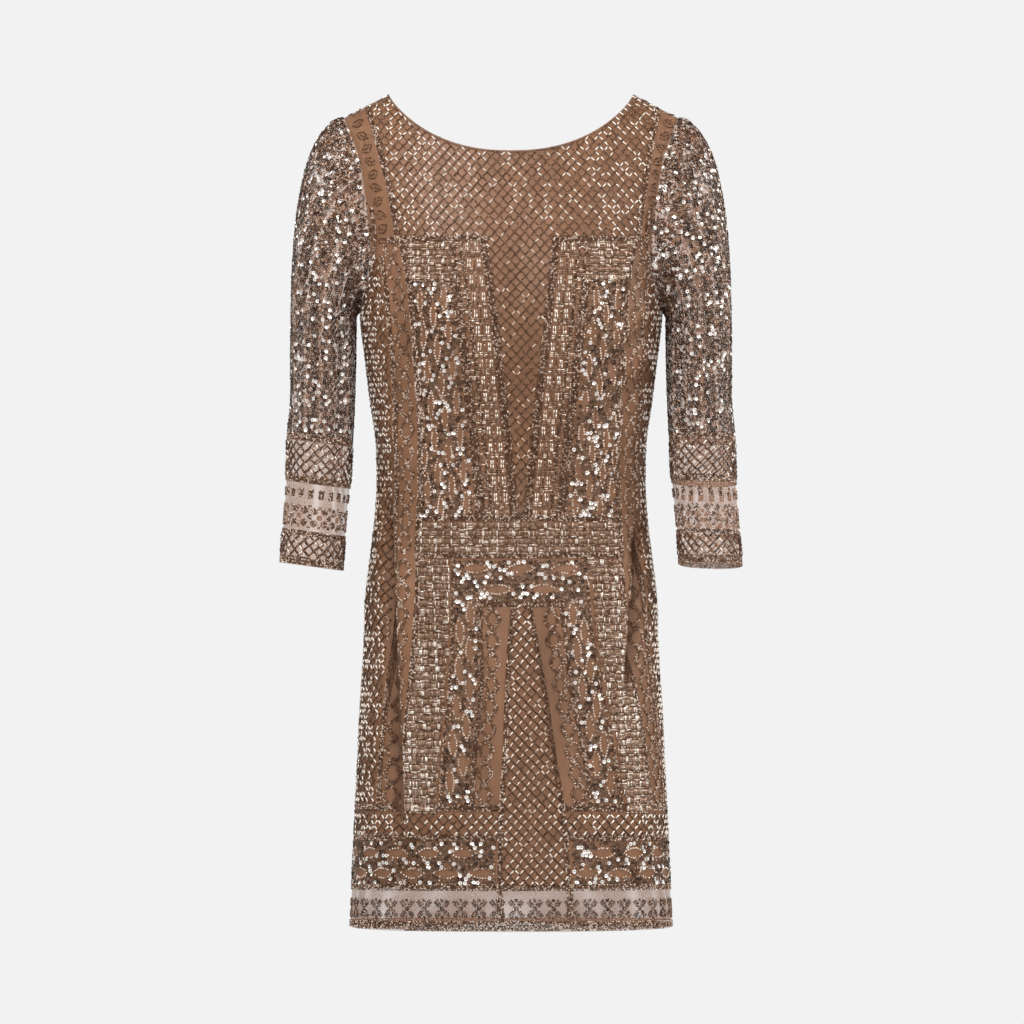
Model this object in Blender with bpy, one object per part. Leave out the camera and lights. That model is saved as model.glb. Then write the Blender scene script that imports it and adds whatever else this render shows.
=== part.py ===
"""A fitted mini dress in beaded net over a satin lining, with a boat neck and three-quarter sleeves.

The dress keeps the hollow form of a worn one. The front faces -Y and the hem is down. The origin is the
middle of the neck opening, level with the neck ends of the shoulder seams. Each cut piece is one closed
wall, a hair's breadth from its neighbours at the seams.
"""

from collections import namedtuple

import bpy
import numpy as np

MM = 0.001

# Driving sizes, in millimetres
DRESS_LENGTH = 877.0
LINING_LENGTH = 832.0
NECK_HALF_WIDTH = 129.0
FRONT_NECK_DEPTH = 60.0
BACK_NECK_DEPTH = 135.0
SHOULDER_HALF_WIDTH = 175.0
SHOULDER_DROP = 24.0
ARMHOLE_BOTTOM = 226.0
SHOULDER_ROUNDING = 110.0
SECTION_POWER = 2.3
HEM_RISE_AT_SIDES = 4.0
HEM_RISE_AT_CENTRE_BACK = 6.0
BUST_FULLNESS = 12.0
BUST_HALF_SPACING = 78.0
BUST_HEIGHT = -218.0
BUST_SPREAD = (42.0, 58.0)

# Cloth and seams, in millimetres
NET_THICKNESS = 1.4
LINING_THICKNESS = 1.0
SEAM_HALF_GAP = 0.3
LINING_INSET_AT_TOP = 1.7
LINING_INSET_IN_BODY = 3.6
LINING_TOP_MARGIN = 2.4
BINDING_GAP = 0.5
BINDING_HEIGHT = 3.0
BINDING_OUTER = 1.0
BINDING_INNER = 1.6

# Mesh divisions
BODY_ROWS = 20
YOKE_ROWS = 13
HALF_COLUMNS = 14
NECK_COLUMNS = 10
LINING_BODY_ROWS = 10
LINING_YOKE_ROWS = 7
LINING_HALF_COLUMNS = 7
CAP_ROWS = 9
ROW_CLOSING = 1.2
NORMAL_STEP = 0.002

# Half width, and depth before and behind the shoulder line, at each height of the body
Section = namedtuple("Section", "height half_width front back")
SECTIONS = (
    Section(40, 214, 60, 56),
    Section(-24, 199, 70, 65),
    Section(-60, 187, 76, 75),
    Section(-110, 172, 92, 88),
    Section(-152, 163, 105, 97),
    Section(-200, 158, 114, 101),
    Section(-236, 157, 116, 101),
    Section(-278, 152, 113, 96),
    Section(-320, 147, 105, 88),
    Section(-362, 141, 97, 82),
    Section(-404, 139.7, 93, 81),
    Section(-446, 142, 93, 87),
    Section(-488, 147, 95, 97),
    Section(-530, 152, 98, 108),
    Section(-572, 153, 100, 115),
    Section(-635, 157, 102, 118),
    Section(-719, 161, 104, 115),
    Section(-803, 165.5, 107, 112),
    Section(-880, 169, 110, 111),
)

# Where the armhole seam runs in the front view, for the front and the back
Armhole = namedtuple("Armhole", "height front back")
ARMHOLE = (
    Armhole(0, 178, 178),
    Armhole(-24, 175, 175),
    Armhole(-58, 161.7, 163),
    Armhole(-110, 151, 154),
    Armhole(-152, 145, 149),
    Armhole(-175, 146.5, 149.5),
    Armhole(-195, 149.5, 151.5),
    Armhole(-208, 153, 154),
    Armhole(-218, 156, 156.5),
    Armhole(-226, 158, 158),
    Armhole(-240, 160, 160),
)

# Level sections of a sleeve from the underarm to the cuff
SleeveSection = namedtuple("SleeveSection", "height centre_x half_width centre_y half_depth")
SLEEVE_SECTIONS = (
    SleeveSection(-236, 197.0, 33.6, 0, 52),
    SleeveSection(-278, 197.5, 33.6, 0, 51),
    SleeveSection(-320, 198.0, 33.0, -1, 49),
    SleeveSection(-362, 201.0, 34.0, -2, 47),
    SleeveSection(-404, 202.5, 33.5, -3, 45),
    SleeveSection(-446, 206.0, 32.5, -5, 42.5),
    SleeveSection(-488, 209.0, 32.6, -8, 40),
    SleeveSection(-510, 210.0, 32.6, -9, 39),
)
SLEEVE_TOP = -236.0
SLEEVE_HEIGHTS = (-262, -290, -320, -350, -380, -410, -438, -466)

# How the cuff edge hangs: its mean height, and how much higher it is on the outside and at the front
Cuff = namedtuple("Cuff", "height outer_rise front_rise")
CUFFS = {"left": Cuff(-495.5, 4.5, 0.0), "right": Cuff(-494.5, -1.0, 3.5)}

# Folds of the body, as soft ridges from one point of the front view to another
Fold = namedtuple("Fold", "panel x_start z_start x_end z_end width height")
BODY_FOLDS = (
    Fold("front", -113, -470, -102, -800, 13, 5.0),
    Fold("front", 128, -480, 112, -640, 12, 5.0),
    Fold("front", 112, -610, 130, -800, 13, 3.5),
    Fold("front", 148, -215, 104, -268, 9, 4.0),
    Fold("front", 146, -262, 100, -318, 10, 3.5),
    Fold("front", 142, -318, 96, -372, 11, 3.0),
    Fold("front", -132, -172, -119, -262, 9, 4.0),
    Fold("front", -138, -330, -96, -396, 11, 3.0),
    Fold("back", -120, -372, -20, -392, 12, 4.0),
    Fold("back", 20, -366, 118, -390, 12, 4.0),
    Fold("back", -110, -424, -16, -430, 13, 3.5),
    Fold("back", 18, -420, 112, -428, 13, 3.5),
    Fold("back", -112, -590, -104, -820, 14, 4.0),
    Fold("back", 104, -600, 114, -810, 14, 4.0),
    Fold("back", -136, -180, -112, -280, 10, 3.5),
    Fold("back", 138, -176, 116, -276, 10, 3.5),
)

# Lengthwise folds of a sleeve: the angle round from the outside through the front, and the heights
SleeveFold = namedtuple("SleeveFold", "angle top bottom width height")
SLEEVE_FOLDS = (
    SleeveFold(0.55, -60, -330, 0.22, 4.0),
    SleeveFold(1.75, -90, -420, 0.22, 4.5),
    SleeveFold(2.50, -250, -400, 0.20, 3.0),
    SleeveFold(4.30, -80, -380, 0.22, 4.5),
    SleeveFold(5.40, -60, -430, 0.24, 3.5),
)

# Colour, roughness and metallic value of each material
Finish = namedtuple("Finish", "colour roughness metallic")
FINISHES = {
    "beaded_net": Finish((0.145, 0.088, 0.060), 0.45, 0.35),
    "satin_lining": Finish((0.400, 0.195, 0.105), 0.40, 0.0),
    "sequin_net": Finish((0.180, 0.125, 0.105), 0.35, 0.45),
    "neck_binding": Finish((0.150, 0.085, 0.055), 0.60, 0.0),
}


def read_table(table, field, height):
    """Read one column of a table at any height, on a smooth curve through its rows."""
    knots = np.array([row.height for row in table], dtype=float)[::-1]
    values = np.array([getattr(row, field) for row in table], dtype=float)[::-1]
    slopes = np.gradient(values, knots)
    index = np.clip(np.searchsorted(knots, height) - 1, 0, len(knots) - 2)
    step = knots[index + 1] - knots[index]
    t = (height - knots[index]) / step
    start = (1 + 2 * t) * (1 - t) ** 2 * values[index] + t * (1 - t) ** 2 * step * slopes[index]
    end = t**2 * (3 - 2 * t) * values[index + 1] + t**2 * (t - 1) * step * slopes[index + 1]
    return start + end


def shoulder_height(x):
    """Height of the shoulder seam, or of its line carried on towards the neck, at a width."""
    slope = SHOULDER_DROP / (SHOULDER_HALF_WIDTH - NECK_HALF_WIDTH)
    return -slope * (np.abs(x) - NECK_HALF_WIDTH)


def neckline_height(panel, x):
    """Height of the neckline: a boat curve in front and a deeper scoop behind."""
    reach = np.clip(np.abs(x) / NECK_HALF_WIDTH, 0, 1)
    if panel == "front":
        return -FRONT_NECK_DEPTH * (1 - reach**2.3) ** 0.8
    return -BACK_NECK_DEPTH * (1 - reach**2.6) ** 0.75


def hem_height(panel, across):
    """Height of the hem, a little higher at the side seams and at the centre-back seam."""
    rise = HEM_RISE_AT_SIDES * across**2
    if panel == "back":
        rise = rise + HEM_RISE_AT_CENTRE_BACK * np.exp(-((across / 0.22) ** 2))
    return rise - DRESS_LENGTH


def body_depth(panel, x, z):
    """How far the cloth stands from the shoulder line: a rounded section, closed over the shoulder."""
    half_width = read_table(SECTIONS, "half_width", z)
    depth = read_table(SECTIONS, panel, z)
    section = np.clip(1 - (np.abs(x) / half_width) ** SECTION_POWER, 0, 1) ** (1 / SECTION_POWER)
    drop = np.clip((shoulder_height(x) - z) / SHOULDER_ROUNDING, 0, 1)
    depth = depth * np.sqrt(1 - (1 - drop) ** 2)
    if panel == "front":
        sideways = ((np.abs(x) - BUST_HALF_SPACING) / BUST_SPREAD[0]) ** 2
        upward = ((z - BUST_HEIGHT) / BUST_SPREAD[1]) ** 2
        depth = depth + BUST_FULLNESS * np.exp(-sideways - upward)
    return depth * section


def top_edge(panel, across):
    """Width and height of a panel's top edge: the neckline, then the shoulder seam."""
    neck_share = NECK_COLUMNS / HALF_COLUMNS
    reach = np.abs(across)
    closer = 1 - np.clip(1 - reach / neck_share, 0, 1) ** 1.3
    neck = NECK_HALF_WIDTH * np.sin(0.5 * np.pi * closer) ** 0.95
    shoulder = (SHOULDER_HALF_WIDTH - NECK_HALF_WIDTH) * np.clip((reach - neck_share) / (1 - neck_share), 0, 1)
    x = neck + shoulder
    z = np.where(reach < neck_share, neckline_height(panel, x), shoulder_height(x))
    return x, z


def body_surface(panel, across, up):
    """Points of the body's cloth.

    across runs from -1 at one side seam to 1 at the other. up runs from 0 at the hem to 1 at the bottom
    of the armhole, and on to 2 at the neckline and the shoulder seam.
    """
    spread = np.sin(0.5 * np.pi * np.abs(across)) ** (2 / SECTION_POWER)
    hem = hem_height(panel, across)
    climb = 0.5 - 0.5 * np.cos(np.pi * np.clip(up - 1, 0, 1))
    top_x, top_z = top_edge(panel, across)
    z = np.where(
        up <= 1,
        hem + (-ARMHOLE_BOTTOM - hem) * np.clip(up, 0, 1),
        -ARMHOLE_BOTTOM + (top_z + ARMHOLE_BOTTOM) * climb,
    )
    edge_z = -ARMHOLE_BOTTOM + (ARMHOLE_BOTTOM - SHOULDER_DROP) * climb
    edge_x = read_table(ARMHOLE, panel, edge_z)
    yoke_x = edge_x * ((1 - climb) * spread + climb * top_x / SHOULDER_HALF_WIDTH)
    body_x = read_table(SECTIONS, "half_width", z) * spread
    x = np.sign(across) * np.where(up <= 1, body_x, yoke_x)
    facing = -1 if panel == "front" else 1
    return np.stack([x, facing * body_depth(panel, x, z), z], axis=-1)


def body_normals(panel, across, up):
    """Outward unit normals of the body's cloth, from small steps along and across it."""
    right = body_surface(panel, np.clip(across + NORMAL_STEP, -1, 1), up)
    left = body_surface(panel, np.clip(across - NORMAL_STEP, -1, 1), up)
    above = body_surface(panel, across, np.clip(up + NORMAL_STEP, 0, 2))
    below = body_surface(panel, across, np.clip(up - NORMAL_STEP, 0, 2))
    normals = np.cross(right - left, above - below)
    if panel == "back":
        normals = -normals
    return normals / np.linalg.norm(normals, axis=-1, keepdims=True)


def fold_lift(panel, across, up, points):
    """How far the folds lift the cloth. They fade out before every edge but the hem."""
    lift = np.zeros(across.shape)
    for fold in BODY_FOLDS:
        if fold.panel != panel:
            continue
        start = np.array([fold.x_start, fold.z_start])
        along = np.array([fold.x_end, fold.z_end]) - start
        length = np.linalg.norm(along)
        along = along / length
        offset = points[..., (0, 2)] - start
        travel = (offset @ along) / length
        aside = offset @ np.array([-along[1], along[0]])
        ends = np.exp(-((2 * np.clip(np.abs(travel - 0.5) - 0.3, 0, None) / 0.4) ** 2) * 2)
        lift = lift + fold.height * np.exp(-((aside / fold.width) ** 2)) * ends
    side_fade = np.clip((1 - np.abs(across)) / 0.15, 0, 1)
    top_fade = np.clip((2 - up) / 0.4, 0, 1)
    return lift * side_fade * top_fade


def square_to(direction, tangent):
    """Unit vectors of a direction without its part along the tangent."""
    tangent = tangent / np.linalg.norm(tangent, axis=-1, keepdims=True)
    square = direction - np.sum(direction * tangent, axis=-1, keepdims=True) * tangent
    return square / np.linalg.norm(square, axis=-1, keepdims=True)


def pull_in(points, edge, distance):
    """Move one edge of a grid of points inwards, square to the edge."""
    grid = points if edge == "last_row" else np.swapaxes(points, 0, 1)
    rim, beside = (0, 1) if edge == "first_column" else (-1, -2)
    along = np.gradient(grid[rim], axis=0)
    grid[rim] += distance * square_to(grid[beside] - grid[rim], along)


def wall_mesh(name, points, thickness, closed_round, material):
    """A closed wall of cloth with its middle on a grid of points, in millimetres."""
    rows, columns = points.shape[:2]
    index = np.arange(rows * columns).reshape(rows, columns)
    if closed_round:
        index = np.concatenate([index, index[:, :1]], axis=1)
    faces = np.stack([index[:-1, :-1], index[:-1, 1:], index[1:, 1:], index[1:, :-1]], axis=-1)
    mesh = bpy.data.meshes.new(name)
    mesh.from_pydata((points.reshape(-1, 3) * MM).tolist(), [], faces.reshape(-1, 4).tolist())
    mesh.materials.append(material)
    mesh.shade_smooth()
    piece = bpy.data.objects.new(name, mesh)
    bpy.context.scene.collection.objects.link(piece)
    wall = piece.modifiers.new("Cloth thickness", "SOLIDIFY")
    wall.thickness = thickness * MM
    wall.offset = 0.0
    wall.use_even_offset = False
    return piece


def make_material(name):
    """A plain material with one finish's colour, roughness and metallic value."""
    finish = FINISHES[name]
    material = bpy.data.materials.new(name)
    material.use_nodes = True
    shader = material.node_tree.nodes["Principled BSDF"]
    shader.inputs["Base Color"].default_value = (*finish.colour, 1.0)
    shader.inputs["Roughness"].default_value = finish.roughness
    shader.inputs["Metallic"].default_value = finish.metallic
    return material


def net_panel(name, panel, columns, material):
    """A panel of the beaded net, with its folds, from hem to neckline."""
    lower = 1 - np.linspace(1, 0, BODY_ROWS + 1) ** ROW_CLOSING
    upper = np.linspace(1, 2, YOKE_ROWS + 1)[1:]
    up, across = np.meshgrid(np.concatenate([lower, upper]), columns, indexing="ij")
    points = body_surface(panel, across, up)
    points += body_normals(panel, across, up) * fold_lift(panel, across, up, points)[..., None]
    for edge in ("first_column", "last_column", "last_row"):
        pull_in(points, edge, SEAM_HALF_GAP)
    if panel == "front":
        points = points[:, ::-1]
    return wall_mesh(name, points, NET_THICKNESS, False, material)


def lining_panel(name, panel, columns, material):
    """A panel of the lining: the net's own surface moved inwards, without its folds."""
    start = (DRESS_LENGTH - LINING_LENGTH) / (DRESS_LENGTH - ARMHOLE_BOTTOM)
    lower = np.linspace(start, 1, LINING_BODY_ROWS + 1)
    upper = np.linspace(1, 2, LINING_YOKE_ROWS + 1)[1:]
    up, across = np.meshgrid(np.concatenate([lower, upper]), columns, indexing="ij")
    taper = np.clip(up - 1, 0, 1)
    inset = LINING_INSET_IN_BODY + (LINING_INSET_AT_TOP - LINING_INSET_IN_BODY) * taper
    points = body_surface(panel, across, up) - body_normals(panel, across, up) * inset[..., None]
    pull_in(points, "first_column", SEAM_HALF_GAP)
    pull_in(points, "last_column", SEAM_HALF_GAP)
    pull_in(points, "last_row", LINING_TOP_MARGIN)
    if panel == "front":
        points = points[:, ::-1]
    return wall_mesh(name, points, LINING_THICKNESS, False, material)


def past_edge(loop, normals):
    """Directions that carry the cloth on past a closed edge, square to the edge and in the surface."""
    along = np.roll(loop, -1, axis=0) - np.roll(loop, 1, axis=0)
    onward = np.cross(normals, along)
    return onward / np.linalg.norm(onward, axis=-1, keepdims=True)


def armhole_loop():
    """Points round the right armhole, and the directions that carry the body's cloth on past it.

    The loop starts at the shoulder seam and runs down the front and up the back, on the same rows as the
    body's panels.
    """
    down = np.linspace(2, 1, YOKE_ROWS + 1)
    seam, normals = [], []
    for panel, up in (("front", down[:-1]), ("back", down[:0:-1])):
        seam.append(body_surface(panel, np.ones(up.shape), up))
        normals.append(body_normals(panel, np.ones(up.shape), up))
    seam = np.concatenate(seam)
    return seam, past_edge(seam, np.concatenate(normals))


def sleeve_section(height, angle, table_side):
    """Points of a sleeve's level section. The angle runs from the outside through the front."""
    centre_x = read_table(SLEEVE_SECTIONS, "centre_x", height)
    half_width = read_table(SLEEVE_SECTIONS, "half_width", height)
    centre_y = read_table(SLEEVE_SECTIONS, "centre_y", height)
    half_depth = read_table(SLEEVE_SECTIONS, "half_depth", height)
    cuff = CUFFS[table_side]
    share = np.clip((SLEEVE_TOP - height) / (SLEEVE_TOP - cuff.height), 0, 1) ** 4
    lift = share * (cuff.outer_rise * np.cos(angle) + cuff.front_rise * np.sin(angle))
    x = centre_x + half_width * np.cos(angle)
    y = centre_y - half_depth * np.sin(angle)
    return np.stack([x, y, height + lift], axis=-1)


def sleeve_fold_lift(height, angle):
    """How far the sleeve's lengthwise folds lift its cloth."""
    lift = np.zeros(np.broadcast(height, angle).shape)
    for fold in SLEEVE_FOLDS:
        turn = np.angle(np.exp(1j * (angle - fold.angle)))
        middle = 0.5 * (fold.top + fold.bottom)
        half = 0.5 * (fold.top - fold.bottom)
        ends = np.clip(1 - ((height - middle) / half) ** 2, 0, 1)
        lift = lift + fold.height * np.exp(-((turn / fold.width) ** 2)) * ends
    return lift


def sleeve_surface(table_side):
    """Grid of points of the right sleeve, from the armhole seam to the cuff."""
    seam, outward = armhole_loop()
    count = len(seam)
    steps = np.linalg.norm(np.roll(seam, -1, axis=0) - seam, axis=-1)
    travelled = np.concatenate([[0], np.cumsum(steps)[:-1]])
    half = travelled[YOKE_ROWS]
    front_half = np.arange(count) < YOKE_ROWS
    front_angle = np.pi * travelled / half
    back_angle = np.pi + np.pi * (travelled - half) / (steps.sum() - half)
    angle = np.where(front_half, front_angle, back_angle)

    ring = sleeve_section(np.full(count, SLEEVE_TOP), angle, table_side)
    span = np.linalg.norm(ring - seam, axis=-1, keepdims=True)
    radial = np.stack([np.full(count, 1.0), -0.18 * np.sin(angle), -0.14 - 0.26 * np.cos(angle)], axis=-1)
    radial[:, 2] = np.where(np.cos(angle) > 0, -0.2 * np.cos(angle), -0.42 * np.cos(angle))
    leave = radial / np.linalg.norm(radial, axis=-1, keepdims=True)
    arrive = np.array([0.02, 0.0, -1.0])
    turn = np.sqrt(np.clip(1 - np.sum(leave * outward, axis=-1) ** 2, 0, 1))
    seam = seam + leave * (SEAM_HALF_GAP + 0.5 * NET_THICKNESS * turn)[:, None]

    rows = []
    for t in np.linspace(0, 1, CAP_ROWS + 1) ** 1.15:
        start = (1 + 2 * t) * (1 - t) ** 2 * seam + t * (1 - t) ** 2 * 0.70 * span * leave
        end = t**2 * (3 - 2 * t) * ring + t**2 * (t - 1) * 1.15 * span * arrive
        rows.append(start + end)
    for height in (*SLEEVE_HEIGHTS, CUFFS[table_side].height):
        rows.append(sleeve_section(np.full(count, float(height)), angle, table_side))
    points = np.array(rows)

    centre_x = read_table(SLEEVE_SECTIONS, "centre_x", np.minimum(points[..., 2], SLEEVE_TOP))
    from_seam = np.clip(np.linspace(0, len(rows) - 1, len(rows)) / 3, 0, 1)[:, None]
    lift = sleeve_fold_lift(points[..., 2], angle[None, :]) * from_seam
    away = np.stack([points[..., 0] - centre_x, points[..., 1], np.zeros(lift.shape)], axis=-1)
    away = away / np.maximum(np.linalg.norm(away, axis=-1, keepdims=True), 1.0)
    return points + away * lift[..., None]


def make_sleeve(name, table_side, material):
    """One sleeve, open at the armhole and the cuff."""
    points = sleeve_surface(table_side)
    if table_side == "left":
        points = points * np.array([-1.0, 1.0, 1.0])
        points = points[:, ::-1]
    return wall_mesh(name, points, NET_THICKNESS, True, material)


def make_binding(name, material):
    """The narrow ring that binds the neckline, level with the net outside and the lining inside."""
    share = NECK_COLUMNS / HALF_COLUMNS
    across = np.linspace(-share, share, 2 * NECK_COLUMNS + 1)
    centre_line, normals = [], []
    for panel, place in (("front", across[:-1]), ("back", across[:0:-1])):
        top = np.full(place.shape, 2.0)
        centre_line.append(body_surface(panel, place, top))
        normals.append(body_normals(panel, place, top))
    centre_line, normals = np.concatenate(centre_line), np.concatenate(normals)
    upward = past_edge(centre_line, normals)
    corners = (
        (BINDING_GAP, BINDING_OUTER),
        (BINDING_GAP + BINDING_HEIGHT, BINDING_OUTER),
        (BINDING_GAP + BINDING_HEIGHT, -BINDING_INNER),
        (BINDING_GAP, -BINDING_INNER),
    )
    sides = [centre_line + upward * rise + normals * out for rise, out in corners]
    points = np.stack(sides, axis=1)
    count = len(points)
    index = np.arange(count * len(corners)).reshape(count, len(corners))
    index = np.pad(index, ((0, 1), (0, 1)), mode="wrap")
    faces = np.stack([index[:-1, :-1], index[1:, :-1], index[1:, 1:], index[:-1, 1:]], axis=-1)
    mesh = bpy.data.meshes.new(name)
    mesh.from_pydata((points.reshape(-1, 3) * MM).tolist(), [], faces.reshape(-1, 4).tolist())
    mesh.materials.append(material)
    mesh.shade_smooth()
    piece = bpy.data.objects.new(name, mesh)
    bpy.context.scene.collection.objects.link(piece)
    return piece


def clear_scene():
    """Remove whatever the scene holds."""
    for item in list(bpy.data.objects):
        bpy.data.objects.remove(item, do_unlink=True)


def main():
    """Build the dress, piece by piece."""
    clear_scene()
    finishes = {name: make_material(name) for name in FINISHES}
    whole = np.linspace(-1, 1, 2 * HALF_COLUMNS + 1)
    net = finishes["beaded_net"]
    net_panel("front", "front", whole, net)
    net_panel("back_left", "back", whole[: HALF_COLUMNS + 1], net)
    net_panel("back_right", "back", whole[HALF_COLUMNS:], net)

    lining_whole = np.linspace(-1, 1, 2 * LINING_HALF_COLUMNS + 1)
    satin = finishes["satin_lining"]
    lining_panel("lining_front", "front", lining_whole, satin)
    lining_panel("lining_back_left", "back", lining_whole[: LINING_HALF_COLUMNS + 1], satin)
    lining_panel("lining_back_right", "back", lining_whole[LINING_HALF_COLUMNS:], satin)

    make_sleeve("sleeve_left", "left", finishes["sequin_net"])
    make_sleeve("sleeve_right", "right", finishes["sequin_net"])
    make_binding("neck_binding", finishes["neck_binding"])


main()
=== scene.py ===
"""Sequin mini dress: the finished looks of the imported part, in the same frame as its solids.

Lengths in the tables are millimetres, and the meshes are built in metres. The front is at -Y, the top at +Z,
and the origin is midway between the shoulder points. The cloth is built from the same formulas as the solids,
at a finer grid, and the beads are laid out on the flat cloth in two lengths: s, how far round from the centre
line, and w, how far up. The random draws come in one fixed order, so that each run gives the same beads.
"""

from __future__ import annotations

import logging
import math
from dataclasses import dataclass, field, fields
from enum import Enum
from typing import Callable, NamedTuple

import bpy
import numpy as np
from bpy.types import ID, Material, Node, NodeSocket, NodeTree, Object
from numpy import ndarray as Array
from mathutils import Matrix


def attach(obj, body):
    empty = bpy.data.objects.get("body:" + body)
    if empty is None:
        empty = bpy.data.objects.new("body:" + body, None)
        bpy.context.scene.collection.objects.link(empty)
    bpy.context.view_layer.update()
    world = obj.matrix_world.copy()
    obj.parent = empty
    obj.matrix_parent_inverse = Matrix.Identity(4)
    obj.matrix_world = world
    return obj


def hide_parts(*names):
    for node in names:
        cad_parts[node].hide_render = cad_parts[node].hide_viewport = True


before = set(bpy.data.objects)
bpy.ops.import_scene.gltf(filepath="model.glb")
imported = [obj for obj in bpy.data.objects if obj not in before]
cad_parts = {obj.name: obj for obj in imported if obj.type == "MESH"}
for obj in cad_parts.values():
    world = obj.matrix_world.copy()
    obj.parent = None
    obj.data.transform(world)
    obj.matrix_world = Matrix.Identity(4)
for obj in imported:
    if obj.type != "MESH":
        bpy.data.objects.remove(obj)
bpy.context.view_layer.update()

MM = 0.001
UPRIGHT = 0.5 * math.pi
LOG = logging.getLogger("dress")
Edge = Callable[[Array], Array]
Box = tuple[float, float, float, float]


class Panel(Enum):
    """The two sides of the body."""

    FRONT = "front"
    BACK = "back"


@dataclass(frozen=True)
class Table:
    """Rows of numbers from the top down: each starts with its height, and the columns name the rest."""

    columns: tuple[str, ...]
    rows: tuple[tuple[float, ...], ...]

    def at(self, column: str, height: Array) -> Array:
        """Read a column at any heights, on a smooth curve through its rows.

        Args:
            column: the name of the column.
            height: the heights to read it at.

        Returns:
            Its values there: on each stretch the cubic with the slopes of the rows' own differences.
        """
        numbers = np.array(self.rows, float)[::-1]
        level, value = numbers[:, 0], numbers[:, self.columns.index(column) + 1]
        slope = np.gradient(value, level)
        height = np.clip(height, level[0], level[-1])
        low = np.clip(np.searchsorted(level, height) - 1, 0, len(level) - 2)
        step = level[low + 1] - level[low]
        t = (height - level[low]) / step
        start = (1 + 2 * t) * (1 - t) ** 2 * value[low] + t * (1 - t) ** 2 * step * slope[low]
        end = t**2 * (3 - 2 * t) * value[low + 1] + t**2 * (t - 1) * step * slope[low + 1]
        return start + end

    def line(self, column: str, offset: float = 0.0) -> Edge:
        """A column as a function of the height, moved outward by an offset."""
        return lambda height: self.at(column, height) + offset


# Level sections of the body: half width, and depth in front and behind.
SECTIONS = Table(
    ("half_width", "front", "back"),
    (
        (40, 214, 60, 56), (-24, 199, 70, 65), (-60, 187, 76, 75), (-110, 172, 92, 88),
        (-152, 163, 105, 97), (-200, 158, 114, 101), (-236, 157, 116, 101), (-278, 152, 113, 96),
        (-320, 147, 105, 88), (-362, 141, 97, 82), (-404, 139.7, 93, 81), (-446, 142, 93, 87),
        (-488, 147, 95, 97), (-530, 152, 98, 108), (-572, 153, 100, 115), (-635, 157, 102, 118),
        (-719, 161, 104, 115), (-803, 165.5, 107, 112), (-880, 169, 110, 111),
    ),
)

# How far out in x the armhole's seam is.
ARMHOLE = Table(
    ("front", "back"),
    (
        (0, 178, 178), (-24, 175, 175), (-58, 161.7, 163), (-110, 151, 154), (-152, 145, 149),
        (-175, 146.5, 149.5), (-195, 149.5, 151.5), (-208, 153, 154), (-218, 156, 156.5),
        (-226, 158, 158), (-240, 160, 160),
    ),
)

# Level sections of a sleeve.
SLEEVE = Table(
    ("centre_x", "half_width", "centre_y", "half_depth"),
    (
        (-236, 197, 33.6, 0, 52), (-278, 197.5, 33.6, 0, 51), (-320, 198, 33, -1, 49),
        (-362, 201, 34, -2, 47), (-404, 202.5, 33.5, -3, 45), (-446, 206, 32.5, -5, 42.5),
        (-488, 209, 32.6, -8, 40), (-510, 210, 32.6, -9, 39),
    ),
)

# How far from the centre line the bodice's inner and outer borders lie.
BODICE = Table(
    ("plunge", "outer"),
    ((-150, 35, 127), (-200, 29, 120), (-270, 21, 112), (-375, 9.5, 105), (-446, 3, 107), (-486, 1, 108)),
)

# How far from the centre line the skirt's borders lie, from the middle outward.
SKIRT = Table(
    ("wedge", "chain", "leg_inner", "leg_outer", "basket"),
    (
        (-486, 1, 29, 42, 70, 108), (-531, 6, 30, 44, 71, 109), (-552, 9, 31, 46, 72, 111),
        (-625, 18, 37, 50, 80, 121), (-692, 24, 46, 60, 90, 132), (-745, 30, 51, 65, 96, 137),
        (-836, 35, 51, 65, 96, 137),
    ),
)

# The embroidery's centre line swings aside with the way that the dress is worn.
CENTRE = Table(
    ("offset",),
    ((0, 2), (-150, 9), (-400, 10.5), (-540, 11), (-627, 16), (-745, 22), (-877, 26)),
)

# The yoke's side border slants in towards the bust panels.
YOKE = Table(("x",), ((0, 156), (-35, 145), (-70, 137), (-105, 130.5), (-150, 124)))


class Cuff(NamedTuple):
    """A cuff's height, and how far it rises outside and in front."""

    height: float
    outer_rise: float
    front_rise: float


CUFFS = {"left": Cuff(-495.5, 4.5, 0.0), "right": Cuff(-494.5, -1.0, 3.5)}


class Crease(NamedTuple):
    """A soft ridge, or a trough where its height is negative, from one place on the cloth to another."""

    x_start: float
    z_start: float
    x_end: float
    z_end: float
    width: float
    height: float


FRONT_CREASES = (
    (-113, -470, -102, -800, 13, 5), (128, -480, 112, -640, 12, 5), (112, -610, 130, -800, 13, 3.5),
    (148, -215, 104, -268, 9, 4), (146, -262, 100, -318, 10, 3.5), (142, -318, 96, -372, 11, 3),
    (-132, -172, -119, -262, 9, 4), (-138, -330, -96, -396, 11, 3), (-133, -405, -114, -800, 6, -10.5),
    (137, -440, 119, -640, 6, -10.5), (140, -238, 92, -296, 5.5, -4.5), (136, -290, 86, -346, 5.5, -4),
    (-125, -180, -108, -285, 5.5, -4.5), (-36, -560, -30, -740, 9, -1.6), (-12, -560, -14, -770, 8, 3),
    (33, -545, 49, -740, 8, -4), (8, -120, 9, -450, 17, -2.6), (14, -575, 24, -850, 20, -2),
    (-64, -250, -40, -400, 12, -1.4), (70, -300, 40, -430, 10, -1.4),
)
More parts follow.
